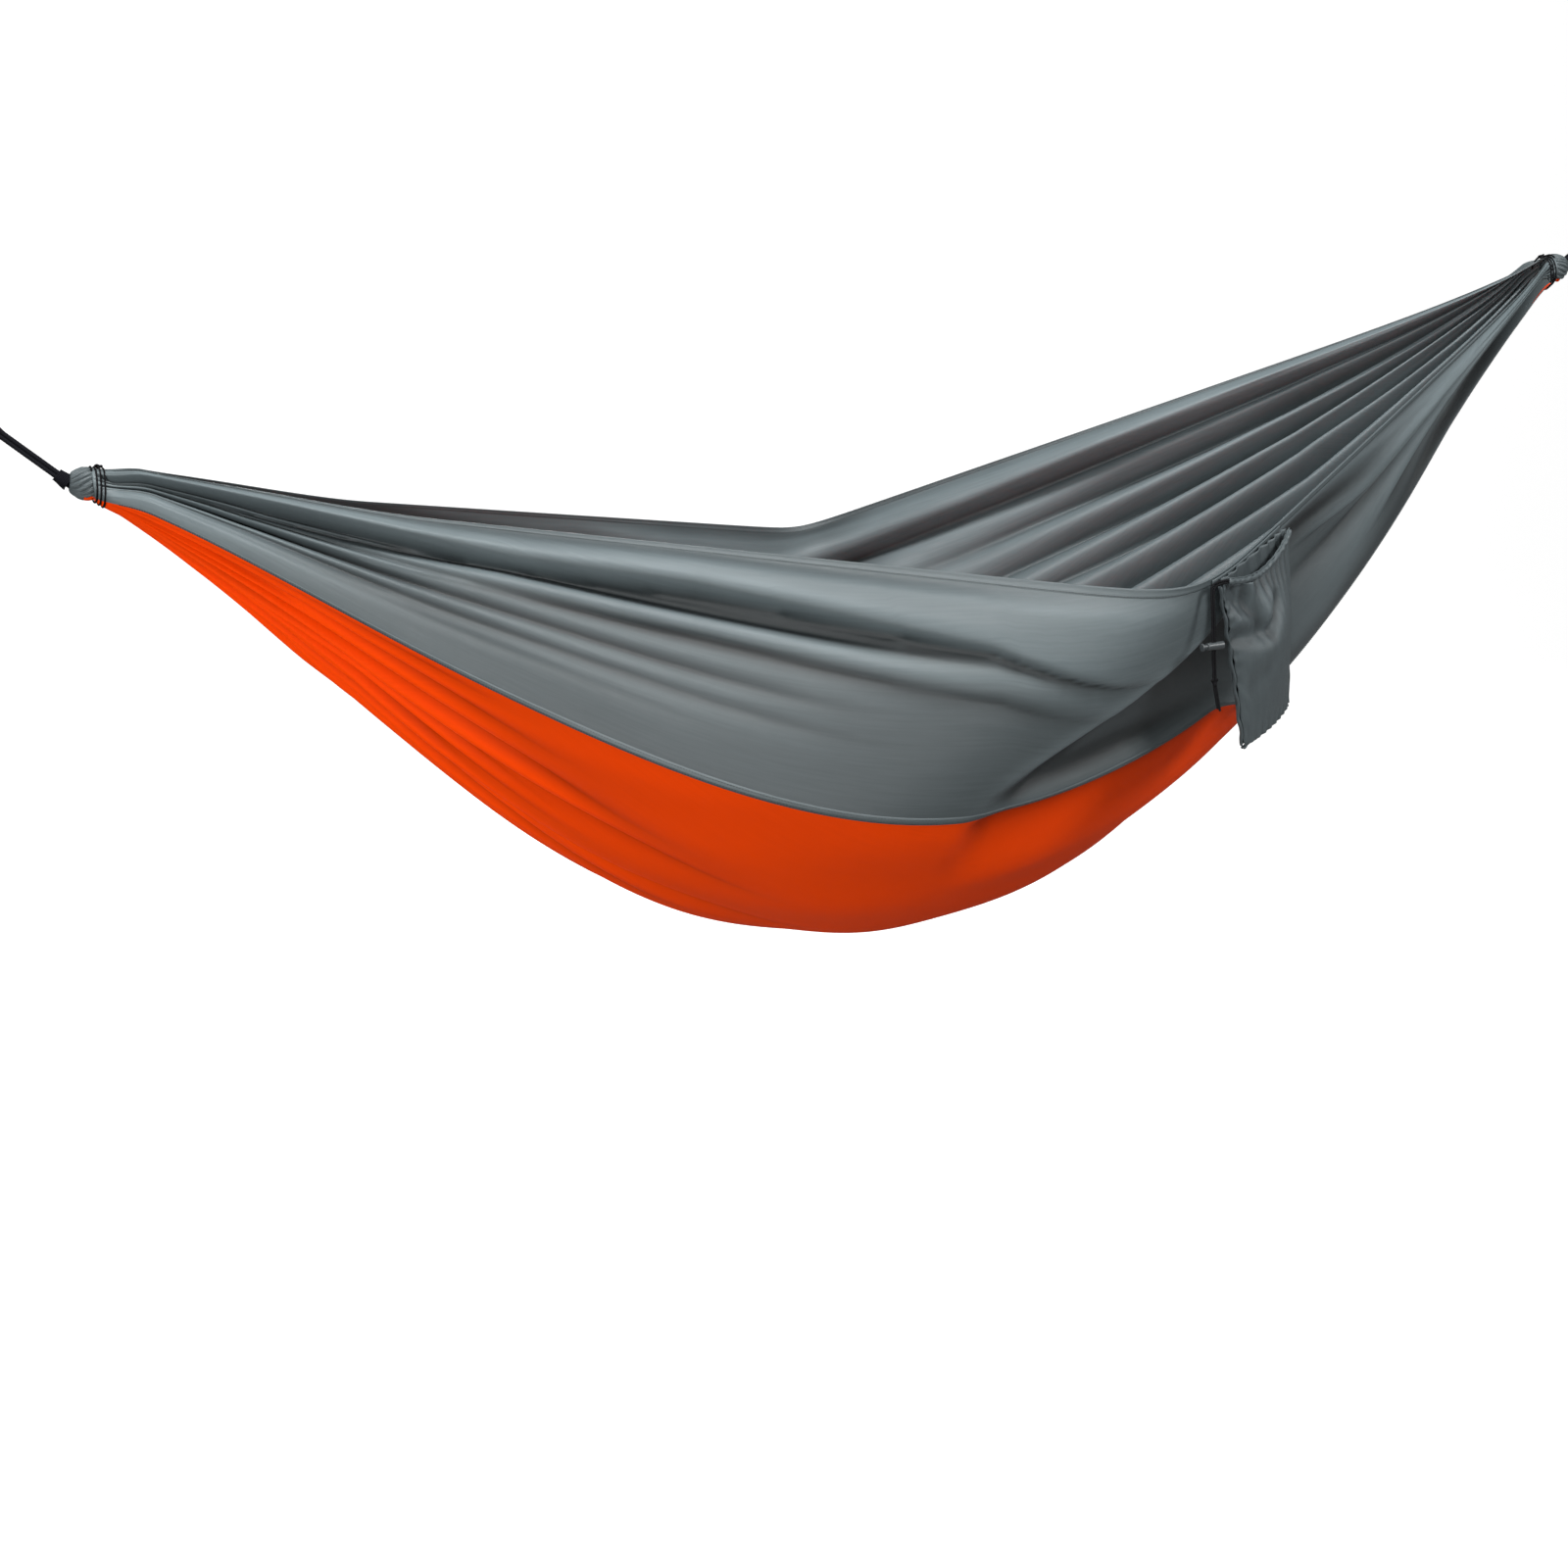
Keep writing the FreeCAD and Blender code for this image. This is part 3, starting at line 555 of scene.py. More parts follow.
def folded_in(creases, t, angle, scale):
    """How deep the creases of one end are, at t from that end as a share of the span."""
    rows = sorted(creases)
    places = [FAR_EDGE + 3] + [row[0] for row in rows] + [NEAR_EDGE - 3]
    deepest = np.clip(slack(scale), LEAST_DEPTH, MOST_DEPTH) * scale
    depth = np.zeros_like(angle)
    for k, (at, reach, ratio, drift) in enumerate(rows):
        run = t / reach
        place = at + drift * run
        wide = np.where(angle < place, place - places[k], places[k + 2] - place) * 0.92
        x = np.sqrt(((angle - place) / np.maximum(wide, 0.3)) ** 2 + 0.0035)
        fade = (1 - smooth((run - 0.35) / 0.65)) * smooth(t / 0.012)
        half = 0.5 * (places[k + 2] - places[k])
        depth = depth + FOLD_GAIN * ratio * half * deepest * fade * np.maximum(0, 1 - x) ** 2.1
    return depth


MINOR = [
    (
        minor_creases(3.4, (0.09, 0.26), (0.22, 0.40)),
        minor_creases(1.5, (0.03, 0.11), (0.25, 0.45)),
    )
    for _ in range(2)
]
WAVES = [(draws.uniform(2, 7), draws.uniform(-0.09, 0.09), draws.uniform(0, 6.28)) for _ in range(9)]


def drooping(x):
    """A roll's shape from its crease at 0 to its free edge at 1, fullest near the crease."""
    return np.sin(np.pi * np.clip(x, 0, 1) ** 0.45) ** 0.8


def hem_roll(s, angle):
    """The slack roll along the near edge, from the left end to the stuff sack, over a sharp crease."""
    crease_at = np.interp(s, (0.0, 0.10, 0.29, 0.42, 0.48, 0.6), (69.4, 70.6, 72.2, 71.6, 69.4, 67.5))
    x = (angle - crease_at) / (NEAR_EDGE - crease_at)
    below = np.clip((crease_at - angle) / 3.2, 0, 1)
    size = np.clip(s / 0.30, 0, 1) ** 0.6 * (1 - smooth((s - 0.34) / 0.20))
    roll = size * (0.032 * drooping(x) + 0.011 * np.sin(np.pi * below) ** 0.7 * (below > 0))
    right = smooth((s - 0.63) / 0.08) * np.clip((1 - s) / 0.2, 0, 1) ** 0.7
    return roll + 0.018 * right * drooping((angle - 70.2) / (NEAR_EDGE - 70.2))


def far_roll(s, angle):
    """The same along the far edge, towards the right end, where the roll turns inwards."""
    crease_at = -64.4
    x = (crease_at - angle) / (crease_at - FAR_EDGE)
    size = smooth((s - 0.33) / 0.12) * np.clip((1 - s) / 0.25, 0, 1) ** 0.7
    return -0.034 * size * drooping(x)


def side_facet(s, angle):
    """The pull of the stuff sack's corner: past a ridge down to the seam the side turns away."""
    up = np.maximum(0, angle - NEAR_SEAM) / 11.8
    run = s - (0.401 + 0.13 * up**1.2)
    size = smooth((angle - 46) / (NEAR_SEAM - 46)) * smooth((NEAR_EDGE - angle) / 5)
    return size * smooth(run / 0.03 + 0.1) * (1 - smooth((run - 0.05) / 0.20))


def shadowed(s, angle):
    """Where painted shade darkens the near side: under the slack roll, past the ridge, and along the fold at
    the right.
    """
    fold = smooth((s - 0.57) / 0.05) * smooth((1 - s) / 0.1) * (1 - smooth((angle - 61.0) / 3))
    lee = smooth((s - 0.04) / 0.1) * smooth((0.52 - s) / 0.1)
    lee = lee * smooth((71.5 - angle) / 3) * (angle > NEAR_SEAM)
    return np.maximum(np.maximum(side_facet(s, angle), 1.25 * fold), 0.65 * lee)


def under_roll(s, angle):
    """How far the grey side droops over the seam on its way to the right end."""
    room = 0.0055 + 0.030 * np.maximum(0, (1 - s) / 0.35) ** 1.15
    size = room * smooth((s - 0.567) / 0.045) * smooth((1 - s) / 0.05)
    width = np.where(angle > 61, 6.5, 5.0)
    return size * np.exp(-(((angle - 61) / width) ** 2)) * smooth((NEAR_EDGE - angle) / 3)


def neck_swell(s, angle):
    """How far the gathered edges stand up just inside the left whipping."""
    size = smooth(s / 0.03) * (1 - smooth((s - 0.045) / 0.13))
    return 0.016 * size * smooth((np.abs(angle) - 52) / 12)


def folded(s, angle):
    """Points on the hanging cloth with its folds, and the outward normal there."""
    s, angle = np.broadcast_arrays(np.asarray(s, float), np.asarray(angle, float))
    normal = slopes(s, angle, 2.5)[0]
    scale = slopes(s, angle)[1]
    depth = np.zeros_like(angle)
    for t, major, minor in ((s, LEFT_CREASES, MINOR[0]), (1 - s, RIGHT_CREASES, MINOR[1])):
        for creases in (major, *minor):
            depth = depth + folded_in(creases, t, angle, scale)
    near = smooth((angle - NEAR_SEAM) / 3) * np.interp(s, (0.22, 0.42, 0.70, 0.85), (1, 0, 0, 1))
    depth = depth * (1 - 0.45 * near)
    inward = 1 - 2 * smooth((np.interp(s, (0.35, 0.6), (-90, -8)) - angle) / 8)
    full = smooth(scale / 0.012)
    sway = sum(math.sin(p) * np.sin(2 * math.pi * (k * s + lean * angle) + p) for k, lean, p in WAVES)
    pinned = smooth((NEAR_EDGE - angle) / 2.2) * smooth((angle - FAR_EDGE) / 2.2)
    low = np.interp(s, (0.3, 0.5), (1, 0)) * (angle > NEAR_SEAM) * (1 - smooth((angle - NEAR_SEAM) / 9))
    pinned = pinned * (1 - low)
    calm = np.interp(s, (0.08, 0.30), (4.5, 1.3))
    held = np.interp(s, (0.08, 0.30), (0.98, 0.75))
    pinned = pinned * (1 - held * np.exp(-(((angle - NEAR_SEAM) / calm) ** 2)))
    pinned = pinned * (1 - 0.75 * np.exp(-(((angle - FAR_SEAM) / 1.3) ** 2)))
    rise = pinned * (SWAY * sway * full - inward * depth)
    drop = under_roll(s, angle) - neck_swell(s, angle)
    rise = rise + pinned * (hem_roll(s, angle) + far_roll(s, angle) - 0.036 * side_facet(s, angle))
    return cloth(s, angle) + normal * rise[..., None] - drop[..., None] * np.array((0.0, 0.30, 0.95)), normal


def stations(count):
    """Places along the span, closer together near both necks."""
    t = np.linspace(0, 1, count)
    return t - 0.13 * np.sin(2 * np.pi * t)


def half_angle(width):
    return math.degrees(width / 2 / DEPTH)


SEAM_HALF = half_angle(SEAM_WIDTH)
HEM = 2 * half_angle(HEM_WIDTH)
STATIONS = stations(420)


def strip(start, stop, columns, lift=0.0):
    points, normal = folded(STATIONS[:, None], np.linspace(start, stop, columns)[None, :])
    return points + normal * lift


def relief_of(points, reach=0.026):
    """From -1 in a valley to 1 on a ridge, seen from outside: each point against its row's mean close by."""
    found = np.zeros(points.shape[:2])
    outwards = unit(np.cross(np.gradient(points, axis=0), np.gradient(points, axis=1)))
    for i, row in enumerate(points):
        length = np.concatenate(([0], np.cumsum(np.linalg.norm(np.diff(row, axis=0), axis=1))))
        around = np.clip(length[:, None] + reach * np.linspace(-1, 1, 9)[None, :], 0, length[-1])
        mean = np.stack([np.interp(around, length, row[:, k]).mean(axis=1) for k in range(3)], axis=1)
        found[i] = ((row - mean) * outwards[i]).sum(axis=1)
    return np.clip(found / 0.0045, -1, 1)


def panel(name, start, stop, columns, faces):
    """One of the pouch's panels. faces are its materials inside and outside."""
    points = strip(start, stop, columns)
    obj = cloth_piece(name + "_cloth", points, faces[0], "bed")
    obj.data.materials.append(faces[1])
    obj.modifiers["thickness"].material_offset = 1
    obj.modifiers["thickness"].material_offset_rim = 1
    # Painted light and shade: the fold attribute lightens ridges, darkens valleys, and darkens further where
    # shadowed paints shade.
    fold = obj.data.attributes.new("fold", "FLOAT", "POINT")
    shade = shadowed(STATIONS[:, None], np.linspace(start, stop, columns)[None, :])
    fold.data.foreach_set("value", (np.clip(relief_of(points) - 0.9 * shade, -1.4, 1)).ravel())
    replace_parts(obj, name)
    return obj


def stitch_row(name, start_angle, lift, material, spacing=0.004, thread=0.0007):
    """A row of lock stitches along a thread of the cloth: short rounded dashes that dip at both ends."""
    s = np.linspace(0.012, 0.988, 1500)
    line, normal = folded(s, np.full_like(s, start_angle))
    line = line + normal * lift
    length = np.concatenate(([0], np.cumsum(np.linalg.norm(np.diff(line, axis=0), axis=1))))
    count = int(length[-1] / spacing)
    verts = []
    faces = []
    for i in range(count):
        at = (i + np.array((0.06, 0.3, 0.56, 0.8))) * spacing
        points = np.stack([np.interp(at, length, line[:, k]) for k in range(3)], axis=1)
        up = np.stack([np.interp(at, length, normal[:, k]) for k in range(3)], axis=1)
        ahead = unit(points[-1] - points[0])
        side = np.cross(up, ahead)
        height = np.array((-0.3, 0.55, 0.55, -0.3)) * thread
        half = np.array((0.35, 0.5, 0.5, 0.35)) * thread
        base = len(verts)
        for p, u, d, h, w in zip(points, up, side, height, half):
            verts += [p + u * h - d * w, p + u * (h + w), p + u * h + d * w]
        for j in range(3):
            a = base + 3 * j
            faces += [(a, a + 1, a + 4, a + 3), (a + 1, a + 2, a + 5, a + 4), (a + 2, a, a + 3, a + 5)]
        faces += [(base, base + 2, base + 1), (base + 9, base + 10, base + 11)]
    return mesh_piece(name, verts, faces, material, "bed")


def band(name, angle, profile, node, material=GREY):
    """A folded strip of cloth along the span. profile rows are (metres round from angle, metres outwards)."""
    rings = []
    for across, lift in profile:
        turn = angle + math.degrees(across / DEPTH)
        points, normal = folded(STATIONS, np.full_like(STATIONS, min(NEAR_EDGE, max(FAR_EDGE, turn))))
        past = math.radians(turn - min(NEAR_EDGE, max(FAR_EDGE, turn))) * DEPTH
        round_ = np.cross(normal, unit(np.gradient(points, axis=0)))
        rings.append(points + normal * lift + round_ * past)
    points = np.stack(rings, axis=1)
    faces = grid_faces(len(STATIONS), len(profile), around=True)
    count = len(profile)
    faces += [tuple(reversed(range(count))), tuple((len(STATIONS) - 1) * count + j for j in range(count))]
    obj = mesh_piece(name, points, faces, material, "bed", grid_lengths(points))
    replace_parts(obj, node)
    return obj


def seam(name, angle):
    """A flat-felled seam: a raised band with three rows of stitches outside and the same inside."""
    half = SEAM_WIDTH / 2
    top = ((-0.9 * half, 0.0010), (0, 0.0008), (0.9 * half, 0.0010), (half, 0.0004))
    ends = ((-half, -0.0004), (-half, 0.0004))
    profile = ends + top + tuple((across, -lift) for across, lift in reversed(top))
    obj = band(name + "_band", angle, profile, name)
    for side, lift in (("outside", 0.0010), ("inside", -0.0010)):
        for k in (-1, 0, 1):
            row = stitch_row(f"{name}_{side}_stitches_{k + 2}", angle + k * 0.62 * SEAM_HALF, lift, THREAD)
            row.parent = obj


def hem(name, angle, inner):
    """The cloth's edge turned over twice, with one row of stitches near its inner side. inner is 1 or -1."""
    rows = ((1, 0.0005), (0.95, 0.0009), (0.6, 0.0008), (0.25, 0.0010))
    outside = tuple((share * HEM_WIDTH, lift) for share, lift in rows)
    fold = ((0.0015, 0.0016), (0.0, 0.0014), (-0.0007, 0.0), (0.0, -0.0014), (0.0015, -0.0016))
    back = tuple((across, -lift) for across, lift in reversed(outside))
    profile = [(inner * across, lift) for across, lift in outside + fold + back]
    if inner > 0:
        profile.reverse()
    obj = band(name + "_band", angle, profile, name)
    stitched = angle + inner * 2 * half_angle(HEM_WIDTH) * 0.86
    for side, lift in (("outside", 0.0010), ("inside", -0.0010)):
        row = stitch_row(f"{name}_{side}_stitches", stitched, lift, THREAD)
        row.parent = obj


def pouch():
    greys = (GREY_INSIDE, GREY_OUTSIDE)
    panel("centre_panel", FAR_SEAM, NEAR_SEAM, 230, (ORANGE_INSIDE, ORANGE))
    panel("near_side_panel", NEAR_SEAM, NEAR_EDGE - HEM / 2, 72, greys)
    panel("far_side_panel", FAR_EDGE + HEM / 2, FAR_SEAM, 150, greys)
    seam("near_seam", NEAR_SEAM)
    seam("far_seam", FAR_SEAM)
    hem("near_edge_hem", NEAR_EDGE, -1)
    hem("far_edge_hem", FAR_EDGE, 1)


# ---- Gathered ends -------------------------------------------------------------------------------


def tilted(side, degrees):
    a = math.radians(degrees)
    return np.array((side * math.cos(a), 0.0, math.sin(a)))


def end_axes(axis):
    """Two directions square to an end's axis: towards the near side, and up."""
    near = np.array((0.0, -1.0, 0.0))
    up = np.cross(near, axis)
    return near, up if up[2] > 0 else -up


def gathered_cap(name, side, neck):
    """The sewn channel, gathered tight: slanting pleats that swell and then close round the rope."""
    axis = tilted(side, NECK_TILT)
    near, up = end_axes(axis)
    along = (-0.006, -0.002, 0.003, 0.008, 0.013, 0.018, 0.022, 0.026, 0.029, 0.0305, 0.029)
    radius = (0.0228, 0.0236, 0.0241, 0.0236, 0.0224, 0.0208, 0.0190, 0.0170, 0.0150, 0.0128, 0.0085)
    count = 288
    theta = np.linspace(0, 2 * math.pi, count, endpoint=False)
    steps = np.linspace(0, 1, 56)
    x = np.interp(steps, np.linspace(0, 1, len(along)), along)
    r = np.interp(steps, np.linspace(0, 1, len(radius)), radius)
    wander = 0.5 * np.sin(2 * theta + 1.0 + side) + 0.35 * np.sin(5 * theta + 2.0)
    turn = theta[None, :] + 30 * x[:, None]
    coarse = np.abs(np.sin(8 * turn + wander)) ** 0.7
    fine = np.abs(np.sin(23 * turn - 2 * wander)) ** 0.8
    swell = np.sin(math.pi * np.clip(steps, 0.08, 0.94))[:, None]
    r = r[:, None] * (0.78 + 0.20 * coarse * swell + 0.06 * fine)
    centre = neck + axis * x[:, None, None]
    ring = np.cos(theta)[None, :, None] * -up + np.sin(theta)[None, :, None] * near
    points = centre + r[..., None] * ring
    faces = grid_faces(len(steps), count, around=True)
    obj = mesh_piece(name + "_pleats", points, faces, GREY, "bed", grid_lengths(points))
    obj.data.materials.append(ORANGE)
    share = np.degrees(theta)
    orange = (share < 40) | (share > 312)
    for i, face in enumerate(obj.data.polygons):
        face.material_index = int(orange[i % count] and x[i // count] < 0.010)
    solid = obj.modifiers.new("thickness", "SOLIDIFY")
    solid.thickness = 0.0008
    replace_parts(obj, name)


def cloth_reach(side, neck, x, theta):
    """How far out the gathered cloth reaches from an end's axis, at x along it and theta round it."""
    axis = tilted(side, NECK_TILT)
    near, up = end_axes(axis)
    s = 0.012 * np.linspace(0, 1, 50) ** 1.5
    from_left = s if side < 0 else 1 - s
    points = folded(from_left[:, None], np.linspace(FAR_EDGE, NEAR_EDGE, 300)[None, :])[0] - neck
    along = (points @ axis).ravel()
    out = np.hypot(points @ up, points @ near).ravel()
    bearing = np.arctan2(points @ near, points @ up).ravel()
    apart = np.abs((bearing[None, :] - theta[:, None] + math.pi) % (2 * math.pi) - math.pi)
    close = (np.abs(along[None, :] - x[:, None]) < 0.0016) & (apart < 0.16)
    return np.where(close, out[None, :], 0).max(axis=1)


def whipping(name, side, neck):
    """Three slanting turns of cord round the gathered cloth, and a reef knot with two short tails."""
    axis = tilted(side, NECK_TILT)
    near, up = end_axes(axis)
    turns = 3.1
    a = np.linspace(0, 2 * math.pi * turns, 420)
    x = WHIPPING_PITCH * (a / (2 * math.pi) - turns / 2) + 0.0042 * np.cos(a + 0.6) - 0.006
    r = np.maximum(WHIPPING_RADIUS + 0.0004 * np.sin(3.3 * a), cloth_reach(side, neck, x, a) + 0.0006)
    r = np.convolve(np.pad(r, 6, mode="edge"), np.full(13, 1 / 13), mode="valid")
    path = neck + x[:, None] * axis + r[:, None] * (np.cos(a)[:, None] * up + np.sin(a)[:, None] * near)

    def braid(i, around):
        return 0.00012 * np.sin(4 * around + 0.55 * i) * np.sin(4 * around - 0.55 * i)

    coil = tube_piece(name + "_turns", path, WHIPPING_CORD, CORD, "bed", "black_cord", ring=14, relief=braid)
    out = unit(up - 0.25 * near)
    heart = neck + 0.0258 * out - axis * 0.006
    k = np.linspace(0, 2 * math.pi, 90, endpoint=False)
    wide = 0.0034 * (np.sin(k) + 2 * np.sin(2 * k)) / 2
    long = 0.0034 * (np.cos(k) - 2 * np.cos(2 * k)) / 2
    high = -0.0012 * np.sin(3 * k)
    across = np.cross(out, axis)
    knot_path = heart + wide[:, None] * axis + long[:, None] * across + high[:, None] * out
    knot = tube_piece(name + "_knot", knot_path, WHIPPING_CORD, CORD, "bed", "black_cord", 12, closed=True)
    parts = [coil, knot]
    for lean, reach in ((0.9, 0.85), (-0.7, 1.15)):
        u = np.linspace(0, 1, 24)[:, None]
        b = -0.25 - reach * u
        tail = neck + 0.0266 * (np.cos(b) * up + np.sin(b) * near) + axis * (lean * 0.012 * u - 0.006)
        parts.append(tube_piece(name + "_tail", tail, 0.00115, CORD, "bed", "black_cord", ring=10))
    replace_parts(joined(name + "_cord", parts), name)


def rope_loop(name, side, cap_end):
    """The end loop: two legs of braided rope side by side, opening round the carabiner's bar."""
    ahead = tilted(side, LOOP_TILT)
    sideways = np.array((-ahead[2], 0.0, ahead[0]))
    bight = BAR / 2 + ROPE / 2 + 0.0004
    touching = ROPE / 2 - 0.0001
    foot = cap_end - ahead * 0.012
    reach = LOOP_LENGTH + 0.012
    x = np.linspace(0, reach, 110)
    gap = touching + (bight - touching) * smooth((x - 0.80 * reach) / (0.20 * reach))
    turn = np.linspace(math.pi / 2, -math.pi / 2, 26)[1:-1]
    top = foot + ahead * reach + bight * (np.cos(turn)[:, None] * ahead + np.sin(turn)[:, None] * sideways)
    bottom = foot - touching * (np.cos(turn)[:, None] * ahead) - touching * np.sin(turn)[:, None] * sideways
    up_leg = foot + x[:, None] * ahead + gap[:, None] * sideways
    down_leg = (foot + x[:, None] * ahead - gap[:, None] * sideways)[::-1]
    path = np.concatenate((up_leg, top, down_leg, bottom))

    def braid(i, around):
        return 0.00022 * np.sin(6 * around + 0.9 * i) * np.sin(6 * around - 0.9 * i)

    sheath = ROPE / 2 + 0.0002
    obj = tube_piece(name + "_rope", path, sheath, ROPES, "bed", "black_rope", 24, closed=True, relief=braid)
    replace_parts(obj, name)


def collar(name, side, cap_end):
    """Seven tight turns of cord that bind both legs where they leave the cap."""
    ahead = tilted(side, LOOP_TILT)
    sideways = np.array((-ahead[2], 0.0, ahead[0]))
    y = np.array((0.0, 1.0, 0.0))
    a = np.linspace(0, 2 * math.pi * 8, 560)
    t = a / a[-1]
    wide = 0.0105 + (0.0082 - 0.0105) * smooth(t)
    deep = 0.0100 + (0.0052 - 0.0100) * smooth(t * 1.2)
    x = -0.003 + 0.0185 * t
    turns = (wide * np.cos(a))[:, None] * sideways + (deep * np.sin(a))[:, None] * y
    path = cap_end + x[:, None] * ahead + turns
    obj = tube_piece(name + "_turns", path, 0.00122, ROPES, "bed", "black_rope", ring=10)
    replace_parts(obj, name)


def gathered_ends():
    for name, side, neck in (("left", -1, LEFT_NECK), ("right", 1, RIGHT_NECK)):
        cap_end = neck + tilted(side, NECK_TILT) * CAP_LENGTH
        gathered_cap(name + "_end_channel", side, neck)
        whipping(name + "_whipping", side, neck)
        rope_loop(name + "_end_loop", side, cap_end)
        collar(name + "_loop_collar", side, cap_end)


# ---- Stuff sack ----------------------------------------------------------------------------------

SACK_LEFT = cloth(SACK_FROM, NEAR_EDGE)
SACK_RIGHT = cloth(SACK_TO, NEAR_EDGE)
SACK_ALONG = unit(SACK_RIGHT - SACK_LEFT)
SACK_WIDTH = float(np.linalg.norm(SACK_RIGHT - SACK_LEFT))
SACK_OUT = unit(np.array((SACK_ALONG[1], -SACK_ALONG[0], 0.0)))


def sack_point(u, v, out):
    """A point on the sack: u across it and v down it from 0 to 1, out in metres away from the hammock."""
    u, v, out = np.broadcast_arrays(np.asarray(u, float), np.asarray(v, float), np.asarray(out, float))
    inset = SACK_TAPER * v * (1 - u)
    top = SACK_LEFT + SACK_ALONG * (u * SACK_WIDTH + inset)[..., None]
    return top + SACK_OUT * (SACK_GAP + out)[..., None] - UP * (v * SACK_HEIGHT + 0.006)[..., None]


def belly(u, v):
    """How far the front panel stands off the back one."""
    across = np.sin(np.pi * u) ** 0.7
    return SACK_BELLY * across * (1 - 0.75 * v**2) * (0.35 + 0.65 * np.minimum(1.0, 2.2 * v + 0.5))


def mouth_drop(u):
    return MOUTH_SAG / SACK_HEIGHT * np.sin(np.pi * u)


def mouth_line(shift=0.0):
    u = np.linspace(0.05, 0.95, 9)
    v = mouth_drop(u)
    return sack_point(u, v - 0.012, SACK_CLOTH + 0.0015 + belly(u, v)) + UP * shift


def drawn_belly(u, v):
    """The belly with its mouth drawn nearly shut by the cord."""
    shut = 1 - 0.72 * (1 - smooth((v - 0.08) / 0.45)) * np.sin(np.pi * u) ** 0.5
    return belly(u, v) * shut


def crease(x, width):
    return np.exp(-((x / width) ** 2))


def sack_front():
    """The front panel: gathered under the drawn mouth, with a soft forked crease from its left side."""
    u = np.linspace(0.012, 0.988, 110)[None, :]
    t = np.linspace(0, 1, 110)[:, None]
    drop = mouth_drop(u)
    v = drop + 0.004 + t * (0.990 - drop)
    off = SACK_CLOTH + 0.0015 + drawn_belly(u, v)
    gathers = np.sin(2 * math.pi * (11 * u + 0.35 * np.sin(9 * u) + 0.5 * t)) * np.exp(-t * 6.5)
    off = off + 0.0021 * gathers * np.sin(math.pi * u) ** 0.4
    for at_u, at_v, du, dv, deep, wide in (
        (0.06, 0.06, 0.34, 0.33, 0.0110, 0.070),
        (0.02, 0.33, 0.42, 0.09, 0.0100, 0.055),
        (0.40, 0.42, 0.24, -0.17, 0.0075, 0.055),
        (0.16, 0.03, 0.10, 0.16, 0.0035, 0.035),
        (0.10, 0.66, 0.30, -0.06, 0.0030, 0.070),
    ):
        length = math.hypot(du, dv)
        run = ((u - at_u) * du + (v - at_v) * dv) / length**2
        aside = ((u - at_u) * dv - (v - at_v) * du) / length
        ends = smooth((run + 0.15) / 0.3) * smooth((1.15 - run) / 0.45)
        off = off - deep * crease(aside, wide) * ends
        off = off + 0.45 * deep * crease(aside - 1.7 * wide, 1.2 * wide) * ends
    edge = np.minimum(u, 1 - u)
    off = off + 0.0011 * np.sin(2 * math.pi * (13 * v + 2.1 * np.sin(3 * v + 6 * u))) * np.exp(-edge / 0.05)
    off = off + 0.0010 * np.sin(2 * math.pi * 9 * u + 1.0) * np.exp(-(1 - t) / 0.06)
    points = sack_point(u, v, np.maximum(off, SACK_CLOTH + 0.0012))
    obj = cloth_piece("sack_front_cloth", points, SACK_OUTSIDE, "stuff_sack", 0.0008)
    # Painted light and shade: the fold attribute lightens the front's ridges and darkens its creases.
    fold = obj.data.attributes.new("fold", "FLOAT", "POINT")
    fold.data.foreach_set("value", relief_of(points, 0.014).ravel())
    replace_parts(obj, "sack_front_panel")


def sack_back():
    """The back panel, with a ruffled top edge that stands above the drawn mouth."""
    u = np.linspace(0.012, 0.988, 110)[None, :]
    v = np.linspace(0.0, 0.985, 80)[:, None]
    ruffle = np.sin(2 * math.pi * (8 * u + 0.4 * np.sin(7 * u))) * np.exp(-v * 14)
    off = 0.0020 * ruffle + 0.0006 * np.sin(9 * u + 7 * v)
    points = sack_point(u, v - 0.006 * np.exp(-v * 20) * (1 + np.sin(23 * u)) * 0.5, off)
    obj = cloth_piece("sack_back_cloth", points, SACK_GREY, "stuff_sack", 0.0008)
    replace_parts(obj, "sack_back_panel")


def drawn_mouth(u):
    """The middle of the mouth's channel, drawn nearly shut."""
    drop = mouth_drop(u)
    return sack_point(u, drop - 0.012, SACK_CLOTH + 0.0015 + drawn_belly(u, drop) + 0.0022)


def channel_cord():
    """The drawcord's two passes inside the mouth's channel."""
    path = drawn_mouth(np.linspace(0.06, 0.94, 120))
    style = (DRAWCORD / 2, CORD, "stuff_sack", "black_cord")
    parts = [tube_piece("pass", path + UP * lift * STRAND_APART, *style) for lift in (-0.5, 0.5)]
    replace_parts(joined("drawcord_passes", parts), "drawcord_in_channel")


def sack_mouth():
    """The ruffled tube that the drawcord runs in."""
    u = np.linspace(0.05, 0.95, 150)
    drop = mouth_drop(u)
    path = drawn_mouth(u)

    def ruffles(i, around):
        gather = math.sin(2 * math.pi * (13 * i / 150 + 0.3 * math.sin(i / 11)))
        return 0.00035 * gather + 0.0004 * np.sin(3 * around + i / 9) * gather - 0.0002

    cloth_of = (SACK_GREY, "stuff_sack", "grey_taffeta")
    parts = [tube_piece("sack_mouth_tube", path, 0.0040, *cloth_of, ring=28, relief=ruffles)]
    for lift in (-0.0046, 0.0046):
        v = drop - 0.012 - lift / SACK_HEIGHT
        out = SACK_CLOTH + 0.0037 + drawn_belly(u, drop) + 0.0006 * np.sin(60 * u)
        parts.append(tube_piece("lip", sack_point(u, v, out), 0.0009, *cloth_of, ring=8))
    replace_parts(joined("sack_mouth_hem", parts), "sack_mouth_channel")


